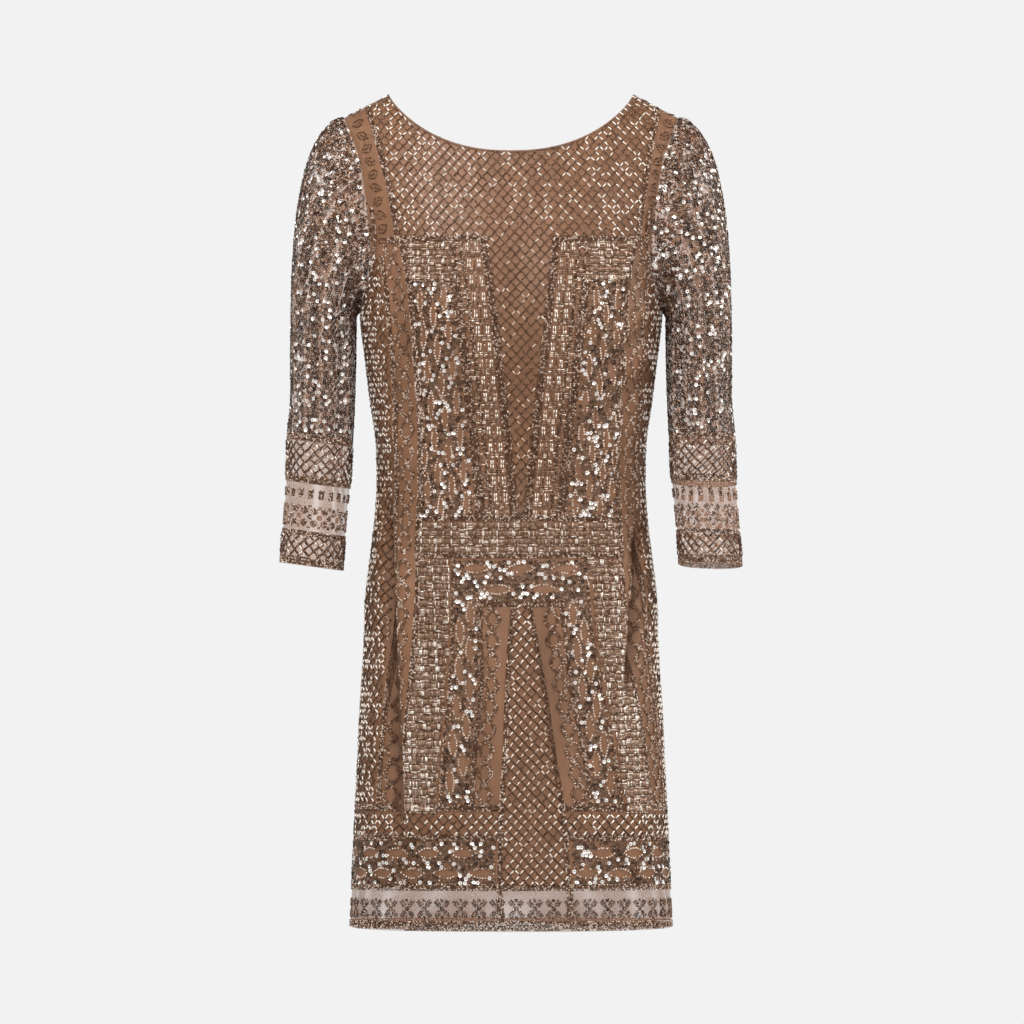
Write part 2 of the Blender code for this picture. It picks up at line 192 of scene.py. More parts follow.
BACK_CREASES = (
    (-120, -372, -20, -392, 12, 4), (20, -366, 118, -390, 12, 4), (-110, -424, -16, -430, 13, 3.5),
    (18, -420, 112, -428, 13, 3.5), (-112, -590, -104, -820, 14, 4), (104, -600, 114, -810, 14, 4),
    (-136, -180, -112, -280, 10, 3.5), (138, -176, 116, -276, 10, 3.5), (-100, -402, -30, -408, 7, -2.5),
    (26, -398, 96, -410, 7, -2.5), (-90, -640, -82, -830, 9, -2.5), (84, -650, 90, -830, 9, -2.5),
)
CREASES = {
    Panel.FRONT: tuple(Crease(*row) for row in FRONT_CREASES),
    Panel.BACK: tuple(Crease(*row) for row in BACK_CREASES),
}


class SleeveCrease(NamedTuple):
    """A lengthwise crease of a sleeve, at an angle round it from the outside through the front."""

    angle: float
    top: float
    bottom: float
    width: float
    height: float


SLEEVE_CREASES = tuple(
    SleeveCrease(*row)
    for row in (
        (0.55, -60, -330, 0.22, 4), (1.75, -90, -420, 0.22, 4.5), (2.5, -250, -400, 0.2, 3),
        (4.3, -80, -380, 0.22, 4.5), (5.4, -60, -430, 0.24, 3.5), (1.3, -130, -470, 0.16, -3.6),
        (2.15, -150, -440, 0.14, -3), (0.15, -200, -480, 0.14, -2.2), (4.8, -120, -420, 0.16, -3.4),
        (3.8, -140, -430, 0.15, -3),
    )
)


def unit(vectors: Array) -> Array:
    """Vectors scaled to a length of one."""
    return vectors / np.maximum(np.linalg.norm(vectors, axis=-1, keepdims=True), 1e-12)


def square_to(vectors: Array, axis: Array) -> Array:
    """Unit vectors after the part of them that lies along a unit axis is taken off."""
    return unit(vectors - axis * np.sum(vectors * axis, axis=-1, keepdims=True))


def run_lengths(points: Array, axis: int = 0) -> Array:
    """Length along a grid of points from its first row, or its first column for axis 1."""
    gone = np.cumsum(np.linalg.norm(np.diff(points, axis=axis), axis=-1), axis=axis)
    return np.concatenate([np.zeros_like(gone.take([0], axis=axis)), gone], axis=axis)


@dataclass(frozen=True)
class BodyForm:
    """The form that the worn cloth of the body holds."""

    length: float = 877.0
    lining_length: float = 832.0
    neck_half_width: float = 129.0
    front_neck_depth: float = 60.0
    back_neck_depth: float = 135.0
    shoulder_half_width: float = 175.0
    shoulder_drop: float = 24.0
    armhole_bottom: float = 226.0
    shoulder_rounding: float = 110.0
    section_power: float = 2.3
    bust_fullness: float = 12.0
    bust_half_spacing: float = 78.0
    bust_height: float = -218.0
    bust_half_across: float = 42.0
    bust_half_up: float = 58.0
    neck_share: float = 10 / 14
    side_fade: float = 0.15

    def shoulder_height(self, x: Array) -> Array:
        """Height of the shoulder seam's line at x."""
        slope = self.shoulder_drop / (self.shoulder_half_width - self.neck_half_width)
        return -slope * (np.abs(x) - self.neck_half_width)

    def neckline_height(self, panel: Panel, x: Array) -> Array:
        """Height of the neckline at x: a flat-bottomed curve, deeper behind.

        Args:
            panel: front or back.
            x: distances from the centre line.

        Returns:
            Its heights there.
        """
        r = np.clip(np.abs(x) / self.neck_half_width, 0, 1)
        if panel is Panel.FRONT:
            return -self.front_neck_depth * (1 - r**2.3) ** 0.8
        return -self.back_neck_depth * (1 - r**2.6) ** 0.75

    def hem_height(self, panel: Panel, across: Array) -> Array:
        """Height of the hem: it rises a little at the sides, and at the centre back.

        Args:
            panel: front or back.
            across: shares across the panel, from -1 to 1.

        Returns:
            Its heights there.
        """
        rise = 4 * across**2
        if panel is Panel.BACK:
            rise = rise + 6 * np.exp(-((across / 0.22) ** 2))
        return rise - self.length

    def half_width(self, z: Array) -> Array:
        """Half width of the level section."""
        return SECTIONS.at("half_width", z)

    def level_x(self, across: Array, z: Array) -> Array:
        """Where the share across, from -1 to 1, lies in x."""
        spread = np.sin(0.5 * np.pi * np.abs(across)) ** (2 / self.section_power)
        return np.sign(across) * self.half_width(z) * spread

    def level_across(self, x: Array, z: Array) -> Array:
        """The share across at which the level section reaches x."""
        part = np.clip(np.abs(x) / self.half_width(z), 0, 1) ** (self.section_power / 2)
        return np.sign(x) * np.arcsin(part) * 2 / np.pi

    def surface(self, panel: Panel, across: Array, z: Array) -> Array:
        """Points of the uncreased form, in millimetres.

        Args:
            panel: front or back.
            across: shares across the panel, from -1 to 1.
            z: heights.

        Returns:
            The points, with x, y and z along the last axis.
        """
        across, z = np.broadcast_arrays(across, z)
        x = self.level_x(across, z)
        below = np.clip((self.shoulder_height(x) - z) / self.shoulder_rounding, 0, 1)
        depth = SECTIONS.at(panel.value, z) * np.sqrt(1 - (1 - below) ** 2)
        if panel is Panel.FRONT:
            aside = (np.abs(x) - self.bust_half_spacing) / self.bust_half_across
            above = (z - self.bust_height) / self.bust_half_up
            depth = depth + self.bust_fullness * np.exp(-(aside**2) - above**2)
        y = depth * np.cos(0.5 * np.pi * np.abs(across)) ** (2 / self.section_power)
        return np.stack([x, -y if panel is Panel.FRONT else y, z], axis=-1)

    def normals(self, panel: Panel, across: Array, z: Array) -> Array:
        """Outward directions of the uncreased form, from small steps along it.

        Args:
            panel: front or back.
            across: shares across the panel, from -1 to 1.
            z: heights.

        Returns:
            Unit vectors along the last axis.
        """
        inside = np.clip(across, -0.996, 0.996)
        round_step = self.surface(panel, inside + 0.003, z) - self.surface(panel, inside - 0.003, z)
        up_step = self.surface(panel, inside, z + 1.0) - self.surface(panel, inside, z - 1.0)
        outward = unit(np.cross(round_step, up_step))
        return outward if panel is Panel.FRONT else -outward

    def crease_lift(self, panel: Panel, across: Array, z: Array) -> Array:
        """How far the creases lift the cloth. They fade out before the side seams and the armholes.

        Args:
            panel: front or back.
            across: shares across the panel, from -1 to 1.
            z: heights.

        Returns:
            The lift in millimetres, below nought in the hollows.
        """
        x = self.level_x(across, z)
        lift = np.zeros(x.shape)
        for crease in CREASES[panel]:
            run = np.array([crease.x_end - crease.x_start, crease.z_end - crease.z_start])
            length = float(np.linalg.norm(run))
            along = run / length
            travel = ((x - crease.x_start) * along[0] + (z - crease.z_start) * along[1]) / length
            aside = (z - crease.z_start) * along[0] - (x - crease.x_start) * along[1]
            ends = np.exp(-2 * (2 * np.clip(np.abs(travel - 0.5) - 0.3, 0, None) / 0.4) ** 2)
            lift = lift + crease.height * np.exp(-((aside / crease.width) ** 2)) * ends
        side = np.clip((1 - np.abs(across)) / self.side_fade, 0, 1)
        in_yoke = z > -self.armhole_bottom
        from_armhole = (ARMHOLE.at(panel.value, z) - np.abs(x)) / 25.0
        return lift * side * np.where(in_yoke, np.clip(from_armhole, 0, 1), 1.0)

    def cloth(self, panel: Panel, across: Array, z: Array, out: float = 0.0) -> Array:
        """Points of the creased cloth, moved outward by out millimetres.

        Args:
            panel: front or back.
            across: shares across the panel, from -1 to 1.
            z: heights.
            out: how far outward they are moved.

        Returns:
            The points.
        """
        across, z = np.broadcast_arrays(across, z)
        lift = self.crease_lift(panel, across, z) + out
        return self.surface(panel, across, z) + self.normals(panel, across, z) * lift[..., None]

    def grid(
        self, panel: Panel, columns: Array, body_rows: int, yoke_rows: int, start: float
    ) -> tuple[Array, Array]:
        """Grid of a panel from hem to neckline, shoulder and armholes.

        Args:
            panel: front or back.
            columns: the shares across of the columns.
            body_rows: rows of faces below the armholes.
            yoke_rows: rows of faces beside the armholes.
            start: how far up from the hem the cloth starts, as a share of the way to the armholes.

        Returns:
            The share across and the height of each point, both row by row.
        """
        up = np.concatenate([np.linspace(start, 1, body_rows + 1), np.linspace(1, 2, yoke_rows + 1)[1:]])
        across, up = np.meshgrid(columns, up)
        size = np.abs(across)
        closer = 1 - np.clip(1 - size / self.neck_share, 0, 1) ** 1.3
        neck_x = self.neck_half_width * np.sin(0.5 * np.pi * closer) ** 0.95
        seam = self.shoulder_half_width - self.neck_half_width
        top_x = neck_x + seam * np.clip((size - self.neck_share) / (1 - self.neck_share), 0, 1)
        top_z = np.where(
            size < self.neck_share, self.neckline_height(panel, neck_x), self.shoulder_height(top_x)
        )
        climb = 0.5 - 0.5 * np.cos(np.pi * np.clip(up - 1, 0, 1))
        hem = self.hem_height(panel, across)
        body_z = hem + (-self.armhole_bottom - hem) * np.minimum(up, 1)
        z = np.where(up <= 1, body_z, -self.armhole_bottom + (top_z + self.armhole_bottom) * climb)
        edge_z = -self.armhole_bottom + (self.armhole_bottom - self.shoulder_drop) * climb
        edge_x = ARMHOLE.at(panel.value, edge_z)
        spread = np.sin(0.5 * np.pi * size) ** (2 / self.section_power)
        yoke_x = edge_x * ((1 - climb) * spread + climb * top_x / self.shoulder_half_width)
        yoke_across = self.level_across(np.sign(across) * yoke_x, z)
        return np.where(up <= 1, across, yoke_across), z

    def within(self, panel: Panel, across: Array, z: Array, margin: float) -> Array:
        """Which places lie on the panel, at least margin millimetres inside its edges.

        Args:
            panel: front or back.
            across: shares across the panel, from -1 to 1.
            z: heights.
            margin: how far inside the edges a place has to be.

        Returns:
            True for each place on the panel.
        """
        x = np.abs(self.level_x(across, z))
        top = np.where(x < self.neck_half_width, self.neckline_height(panel, x), self.shoulder_height(x))
        beside = np.where(z > -self.armhole_bottom, ARMHOLE.at(panel.value, z) - margin, 1e3)
        return (z < top - margin) & (z > self.hem_height(panel, across) + margin) & (x < beside)


@dataclass
class PanelChart:
    """The flat lie of one side of the body: lengths round the cloth and up it, turned into places.

    Above its fold height, how far up is measured along the cloth itself, which turns in to the shoulder.
    """

    form: BodyForm
    panel: Panel
    fold_height: float = -110.0
    fold_x: float = 110.0
    heights: Array = field(init=False)
    shares: Array = field(init=False)
    arcs: Array = field(init=False)
    climb_z: Array = field(init=False)
    climb_up: Array = field(init=False)

    def __post_init__(self) -> None:
        """Measure the form once."""
        self.heights = np.linspace(-885, -1, 222)
        self.shares = np.linspace(0, 1, 241)
        points = self.form.surface(self.panel, self.shares[None, :], self.heights[:, None])
        self.arcs = run_lengths(points, 1)
        self.climb_z = np.linspace(self.fold_height, -1, 80)
        across = self.form.level_across(np.full(80, self.fold_x), self.climb_z)
        self.climb_up = self.fold_height + run_lengths(self.form.surface(self.panel, across, self.climb_z))

    def height(self, up: Array) -> Array:
        """Height in z of a length up the cloth."""
        return np.where(up > self.fold_height, np.interp(up, self.climb_up, self.climb_z), up)

    def up(self, z: Array) -> Array:
        """Length up the cloth of a height in z."""
        return np.where(z > self.fold_height, np.interp(z, self.climb_z, self.climb_up), z)

    def _row(self, z: Array) -> tuple[Array, Array]:
        """The measured row below each height, and how far on to the next it is.

        Args:
            z: heights.

        Returns:
            The rows' numbers, and the shares from 0 to 1.
        """
        first, second = self.heights[:2]
        place = (np.clip(z, first, self.heights[-1]) - first) / (second - first)
        low = np.minimum(place.astype(int), len(self.heights) - 2)
        return low, place - low

    def arc(self, across: Array, z: Array) -> Array:
        """Signed length round the cloth to a share across.

        Args:
            across: shares across the panel, from -1 to 1.
            z: heights.

        Returns:
            The lengths, below nought on the left.
        """
        low, t = self._row(z)
        column = np.clip(np.abs(across), 0, 1) * (len(self.shares) - 1)
        left = np.minimum(column.astype(int), len(self.shares) - 2)
        u = column - left
        near = self.arcs[low, left] * (1 - u) + self.arcs[low, left + 1] * u
        far = self.arcs[low + 1, left] * (1 - u) + self.arcs[low + 1, left + 1] * u
        return np.sign(across) * (near * (1 - t) + far * t)

    def across(self, arc: Array, z: Array) -> Array:
        """The share across at a signed length round the cloth, by halving the range twenty times.

        Args:
            arc: signed lengths round.
            z: heights.

        Returns:
            The shares, from -1 to 1.
        """
        low, high = np.zeros(arc.shape), np.ones(arc.shape)
        for _ in range(20):
            middle = 0.5 * (low + high)
            short = self.arc(middle, z) < np.abs(arc)
            low = np.where(short, middle, low)
            high = np.where(short, high, middle)
        return np.sign(arc) * 0.5 * (low + high)

    def reach(self, z: Array) -> Array:
        """Length round the cloth from the middle to the side seam."""
        return self.arc(np.ones(np.shape(z)), z)


@dataclass
class Beads:
    """Beads on the flat cloth: where each is, round and up, its turn, its length and width, and its tone."""

    round: Array
    up: Array
    turn: Array
    length: Array
    width: Array
    tone: Array

    def kept(self, mask: Array) -> "Beads":
        """The beads for which the mask is true."""
        return Beads(*(getattr(self, item.name)[mask] for item in fields(self)))

    def __len__(self) -> int:
        """How many there are."""
        return len(self.round)


def joined(groups: list[Beads]) -> Beads:
    """All beads of several groups as one group."""
    return Beads(*(np.concatenate([getattr(g, item.name) for g in groups]) for item in fields(Beads)))


def turned(along: Array, aside: Array, turn: Array) -> tuple[Array, Array]:
    """Steps along and aside, turned by an angle into steps round and up."""
    return along * np.cos(turn) - aside * np.sin(turn), along * np.sin(turn) + aside * np.cos(turn)


def pointed_oval(count: int, half: tuple[float, float]) -> tuple[Array, Array]:
    """Steps along and aside of the places on two arcs, each a parabola, that meet in points.

    Args:
        count: number of places on both arcs.
        half: half length and half width.

    Returns:
        The steps along its length, and those aside.
    """
    u = np.linspace(-1, 1, count)
    along = np.concatenate([u, u[1:-1]]) * half[0]
    return along, np.concatenate([1 - u**2, -(1 - u[1:-1] ** 2)]) * half[1]


@dataclass
class Stitcher:
    """Ordinary fillings and borders of beadwork, laid out on flat cloth by rule."""

    seed: int
    seed_pitch: float = 1.85
    row_gap: float = 1.75
    bugle_length: float = 4.9
    rng: np.random.Generator = field(init=False)

    def __post_init__(self) -> None:
        """Start the chance numbers from the same place at each run."""
        self.rng = np.random.default_rng(self.seed)

    def beads(
        self,
        s: Array,
        w: Array,
        turn: Array,
        length: float,
        tone: Array,
        jitter: float = 0.12,
        width: float = 1.0,
    ) -> Beads:
        """Beads at places, each a little out of line.

        Args:
            s: lengths round.
            w: lengths up.
            turn: directions, or one direction for all.
            length: their length.
            tone: their tones, or one tone for all.
            jitter: how far out of line, as a standard deviation.
            width: how wide, as a share of the usual width.

        Returns:
            The beads.
        """
        s, w = (np.asarray(v, float).ravel() for v in np.broadcast_arrays(s, w))
        shape = s.shape
        return Beads(
            s + self.rng.normal(0, jitter, shape),
            w + self.rng.normal(0, jitter, shape),
            np.broadcast_to(turn, shape) + self.rng.normal(0, 0.06, shape),
            np.full(shape, float(length)),
            np.full(shape, float(width)),
            np.clip(np.broadcast_to(tone, shape) + self.rng.normal(0, 0.05, shape), 0, 1),
        )

    def mixed(self, count: int, share: float, bright: float, plain: float) -> Array:
        """Tones of two kinds, of which a share is bright."""
        return np.where(self.rng.random(count) < share, bright, plain)

    def seed_tones(self, count: int) -> Array:
        """Tones of mixed seed beads: mostly dark bronze, some of them light."""
        tone = self.rng.random(count)
        return np.where(self.rng.random(count) < 0.3, 0.8 + 0.18 * tone, 0.1 + 0.5 * tone)

    def seeds(self, s: Array, w: Array, jitter: float = 0.12) -> Beads:
        """Mixed seed beads at places."""
        return self.beads(s, w, 0.0, 1.0, self.seed_tones(np.broadcast(s, w).size), jitter)

    def lattice(
        self, box: Box, pitch: tuple[float, float], bright: tuple[float, float] = (0.0, 0.0)
    ) -> tuple[Beads, Beads]:
        """Diamond lattice: on each side of a diamond one bugle with a seed bead at each end.

        Args:
            box: least round, least up, most round, most up.
            pitch: width and height of a diamond.
            bright: share of bugles painted bright as glints, on the falling sides and on the rising sides.

        Returns:
            Bugles and seeds.
        """
        s0, w0, s1, w1 = box
        m, n = np.meshgrid(
            np.arange(math.floor(2 * s0 / pitch[0]), math.ceil(2 * s1 / pitch[0]) + 1),
            np.arange(math.floor(2 * w0 / pitch[1]), math.ceil(2 * w1 / pitch[1]) + 1),
        )
        even = (m + n) % 2 == 0
        m, n = m[even], n[even]
        bugles, seeds = [], []
        to_knot = 0.25 * math.hypot(*pitch) - 0.55
        for rising, share in ((-1, bright[0]), (1, bright[1])):
            s, w = (m + 0.5) * pitch[0] / 2, (n + 0.5 * rising) * pitch[1] / 2
            turn = math.atan2(rising * pitch[1], pitch[0])
            # Painted glints: the bright share of the bugles gets a near-white tone.
            tone = np.where(self.rng.random(len(s)) < share, 0.97, 0.3 * self.rng.random(len(s)))
            bugles.append(self.beads(s, w, turn, self.bugle_length, tone, 0.25))
            for reach in (-to_knot, to_knot):
                ds, dw = reach * math.cos(turn), reach * math.sin(turn)
                seeds.append(self.beads(s + ds, w + dw, turn, 0.8, self.seed_tones(len(s)), 0.12, 0.8))
        return joined(bugles), joined(seeds)

    def upright_band(self, edge: Edge, low: float, high: float, rows: int) -> Beads:
        """Rows of seed beads beside a line that runs up both sides of the centre line.

        Args:
            edge: distance of the line from the centre line at a length up.
            low: where the band starts.
            high: where it ends.
            rows: how many rows it is wide, from the line outward.

        Returns:
            The seeds.
        """
        w = np.arange(low, high, self.seed_pitch)
        row = np.arange(rows)[:, None]
        s = (edge(w)[None, :] + row * self.row_gap).ravel()
        w = (w[None, :] + (row % 2) * 0.5 * self.seed_pitch).ravel()
        return self.seeds(np.concatenate([s, -s]), np.concatenate([w, w]), 0.2)

    def level_band(self, up: float, half: float, rows: int) -> Beads:
        """Rows of seed beads across the cloth, from a length up downward, half millimetres each way.

        Args:
            up: length up of the first row.
            half: half its length.
            rows: number of rows.

        Returns:
            The beads.
        """
        s = np.arange(-half, half, self.seed_pitch)
        row = np.arange(rows)[:, None]
        return self.seeds(s[None, :] + (row % 2) * 0.5 * self.seed_pitch, up - row * self.row_gap, 0.2)

    def basket(self, box: Box, cell: tuple[float, float]) -> tuple[Beads, Beads]:
        """Basket weave: open squares and ladders of level bugles by turns, with upright bugles between.

        Args:
            box: least round, least up, most round, most up.
            cell: width and height of a cell.

        Returns:
            Bugles and seeds.
        """
        s0, w0, s1, w1 = box
        wide, tall = cell
        i, j = np.meshgrid(np.arange(math.ceil((s1 - s0) / wide)), np.arange(math.ceil((w1 - w0) / tall)))
        i, j = i.ravel(), j.ravel()
        s, w = s0 + (i + 0.5) * wide, w1 - (j + 0.5) * tall
        foot = w - 0.5 * tall
        ladder = (i + j) % 2 == 0
        hollow = ~ladder
        bugles, seeds = [], []
        for rung in range(-2, 3):
            tone = self.mixed(ladder.sum(), 0.25, 0.88, 0.48)
            up = w[ladder] + rung * tall / 5
            bugles.append(self.beads(s[ladder], up, 0.0, wide - 3.0, tone, 0.15, 0.78))
        for end in (-1, 1):
            tone = np.where((i % 2 == 0) & (self.rng.random(len(s)) < 0.45), 0.97, 0.46)
            side = s - 0.5 * wide + 0.75 * end
            bugles.append(self.beads(side, w, UPRIGHT, tall - 3.0, tone, 0.12, 0.85))
            seeds.append(self.seeds(side, foot))
        for step in (-1.0, 0.0, 1.0):
            tone = self.mixed(hollow.sum(), 0.22, 0.9, 0.46)
            beside = s[hollow] + 1.85 * step
            bugles.append(self.beads(beside, w[hollow], UPRIGHT, tall - 3.4, tone, 0.15, 0.78))
        for step in (-1.5, -0.5, 0.5, 1.5):
            seeds.append(self.seeds(s + 1.7 * step, foot))
        return joined(bugles), joined(seeds)

    def block_column(self, inner: Edge, low: float, high: float, period: float) -> tuple[Beads, Beads]:
        """Column of bright two-by-two bugle blocks between rows of level bugles, on both sides of the centre.

        Args:
            inner: distance of the column's inner edge from the centre line.
            low: where it starts.
            high: where it ends.
            period: height of one repeat.

        Returns:
            Bugles and seeds.
        """
        tops = np.arange(high, low, -period)
        count = len(tops)
        base = inner(tops)
        bugles, seeds = [], []
        for side in (-1, 1):
            for lane in (3.0, 13.5):
                for column in (-1.1, 1.1):
                    for row in (2.6, 7.2):
                        tone = self.mixed(count, 0.7, 0.96, 0.62)
                        place = side * (base + lane + column)
                        bugles.append(self.beads(place, tops - row, UPRIGHT, 3.9, tone, 0.15))
            for lane in (1.8, 6.6, 11.4, 16.2):
                for row in (10.8, 12.9, 15.0):
                    tone = self.mixed(count, 0.25, 0.85, 0.45)
                    bugles.append(self.beads(side * (base + lane), tops - row, 0.0, 3.8, tone, 0.15))
            for lane in (8.2, 18.2, 20.0, 26.0, 27.8, 29.6):
                for row in np.arange(1.0, period, 1.9):
                    seeds.append(self.seeds(side * (base + lane), tops - row))
            for row in (1.4, 3.5, 5.6, 12.0, 14.2):
                tone = self.mixed(count, 0.25, 0.85, 0.45)
                bugles.append(self.beads(side * (base + 23.0), tops - row, 0.0, 4.0, tone, 0.15))
        return joined(bugles), joined(seeds)

    def oval_outlines(self, s: Array, w: Array, half: tuple[float, float], upright: bool) -> Beads:
        """Seed beads along pointed ovals.

        Args:
            s: centres, round.
            w: centres, up.
            half: half length and half width.
            upright: whether the length runs up.

        Returns:
            The seeds.
        """
        along, aside = pointed_oval(max(6, round(2.1 * half[0] / 2.6)), half)
        ds, dw = (aside, along) if upright else (along, aside)
        tone = self.mixed(len(s) * len(along), 0.78, 1.0, 0.55)
        outline = self.beads(s[:, None] + ds, w[:, None] + dw, 0.0, 1.2, tone, 0.16, 1.2)
        return outline.kept(self.rng.random(len(outline)) < 0.84)

    def sequin_fill(self, box: Box, pitch: float) -> Beads:
        """Staggered rows of sequins over a box, a share painted bright as glints; more where two slow waves
        cross high.

        Args:
            box: left, bottom, right and top.
            pitch: distance between sequins.

        Returns:
            The sequins.
        """
        s0, w0, s1, w1 = box
        s, w = np.meshgrid(np.arange(s0, s1, pitch), np.arange(w0, w1, pitch * 0.87))
        s = s + 0.5 * pitch * (np.arange(len(w)) % 2)[:, None]
        turn = self.rng.random(s.size) * 2 * np.pi
        glint_cluster = np.sin(0.23 * s + 1.7 * np.sin(0.11 * w)) * np.sin(0.19 * w + 1.3 * np.sin(0.14 * s))
        # Painted glints: the bright sequins get a near-white tone.
        bright = self.rng.random(s.size) < (0.07 + 0.5 * (0.5 + 0.5 * glint_cluster.ravel()) ** 2)
        tone = np.where(bright, 1.0, self.rng.random(s.size) * 0.6)
        return self.beads(s, w, turn, 1.0, tone, 0.45)

    def ring_chain(self, centre: Edge, low: float, high: float, half: float, period: float) -> Beads:
        """Chain of rounded diamonds, three seed beads thick, on both sides of the centre line.

        Args:
            centre: distance of the chain's middle from the centre line.
            low: where it starts.
            high: where it ends.
            half: half the chain's width.
            period: height of one ring.

        Returns:
            The seeds, along curves in which the 1.43rd powers of both distances add up to that of the radius.
        """
        middles = np.arange(high - 0.55 * period, low + 0.3 * period, -period)
        groups = []
        for row in range(3):
            radius = half - 0.6 - row * self.row_gap
            tall = radius + 0.5 * period - half + 0.9
            count = round(6.3 * radius / self.seed_pitch)
            angle = np.linspace(0, 2 * np.pi, count, endpoint=False) + 0.3 * row
            ds = radius * np.sign(np.cos(angle)) * np.abs(np.cos(angle)) ** 1.4
            dw = tall * np.sign(np.sin(angle)) * np.abs(np.sin(angle)) ** 1.4
            for side in (-1, 1):
                s, w = side * centre(middles)[:, None] + ds, middles[:, None] + dw
                groups.append(self.beads(s, w, 0.0, 1.0, 0.16 + 0.84 * self.seed_tones(s.size), 0.22, 0.92))
        return joined(groups)

    def leaf_row(self, level: float, start: float, end: float, pitch: float, height: float) -> Beads:
        """Row of small open diamonds, each between leaves that lean along its sides.

        Args:
            level: the row's middle.
            start: where it starts.
            end: where it ends.
            pitch: from one opening to the next.
            height: the row's height.

        Returns:
            The seeds.
        """
        middles = np.arange(start, end, pitch)
        between = middles + 0.5 * pitch
        groups = [self.leaves(between, level, UPRIGHT, 3, 3)]
        for rise in (-1, 1):
            groups.append(self.leaves(between, level + 0.4 * rise * height, UPRIGHT, 2, 2))
            for hand in (-1, 1):
                side = middles + hand * 0.26 * pitch
                groups.append(self.leaves(side, level + 0.26 * rise * height, -hand * rise * 0.9, 3, 4))
        return joined(groups)

    def open_leaves(self, s: Array, w: Array, turn: Array, half: tuple[float, float]) -> Beads:
        """Leaves outlined with seed beads, each a pointed oval with a short vein in it.

        Args:
            s: lengths round of their middles.
            w: lengths up of their middles.
            turn: directions that they point in.
            half: half length and half width.

        Returns:
            The beads.
        """
        along, aside = pointed_oval(8, half)
        vein = np.array((-0.25, 0.1, 0.45)) * half[0]
        ds, dw = turned(np.append(along, vein), np.append(aside, np.zeros(3)), turn[:, None])
        return self.seeds(s[:, None] + ds, w[:, None] + dw, 0.18)

    def leaves(self, s: Array, level: float, turn: float, rows: int, count: int) -> Beads:
        """Leaves of seed beads: short rows side by side, turned to a direction.

        Args:
            s: lengths round of their middles.
            level: length up of their middles.
            turn: direction that they point in.
            rows: rows in a leaf.
            count: beads in a row.

        Returns:
            The beads.
        """
        groups = []
        for row in range(rows):
            for step in range(count):
                along = (step - 0.5 * (count - 1)) * self.seed_pitch
                aside = (row - 0.5 * (rows - 1)) * self.row_gap
                ds, dw = turned(along, aside, turn)
                groups.append(self.seeds(s + ds, level + dw))
        return joined(groups)


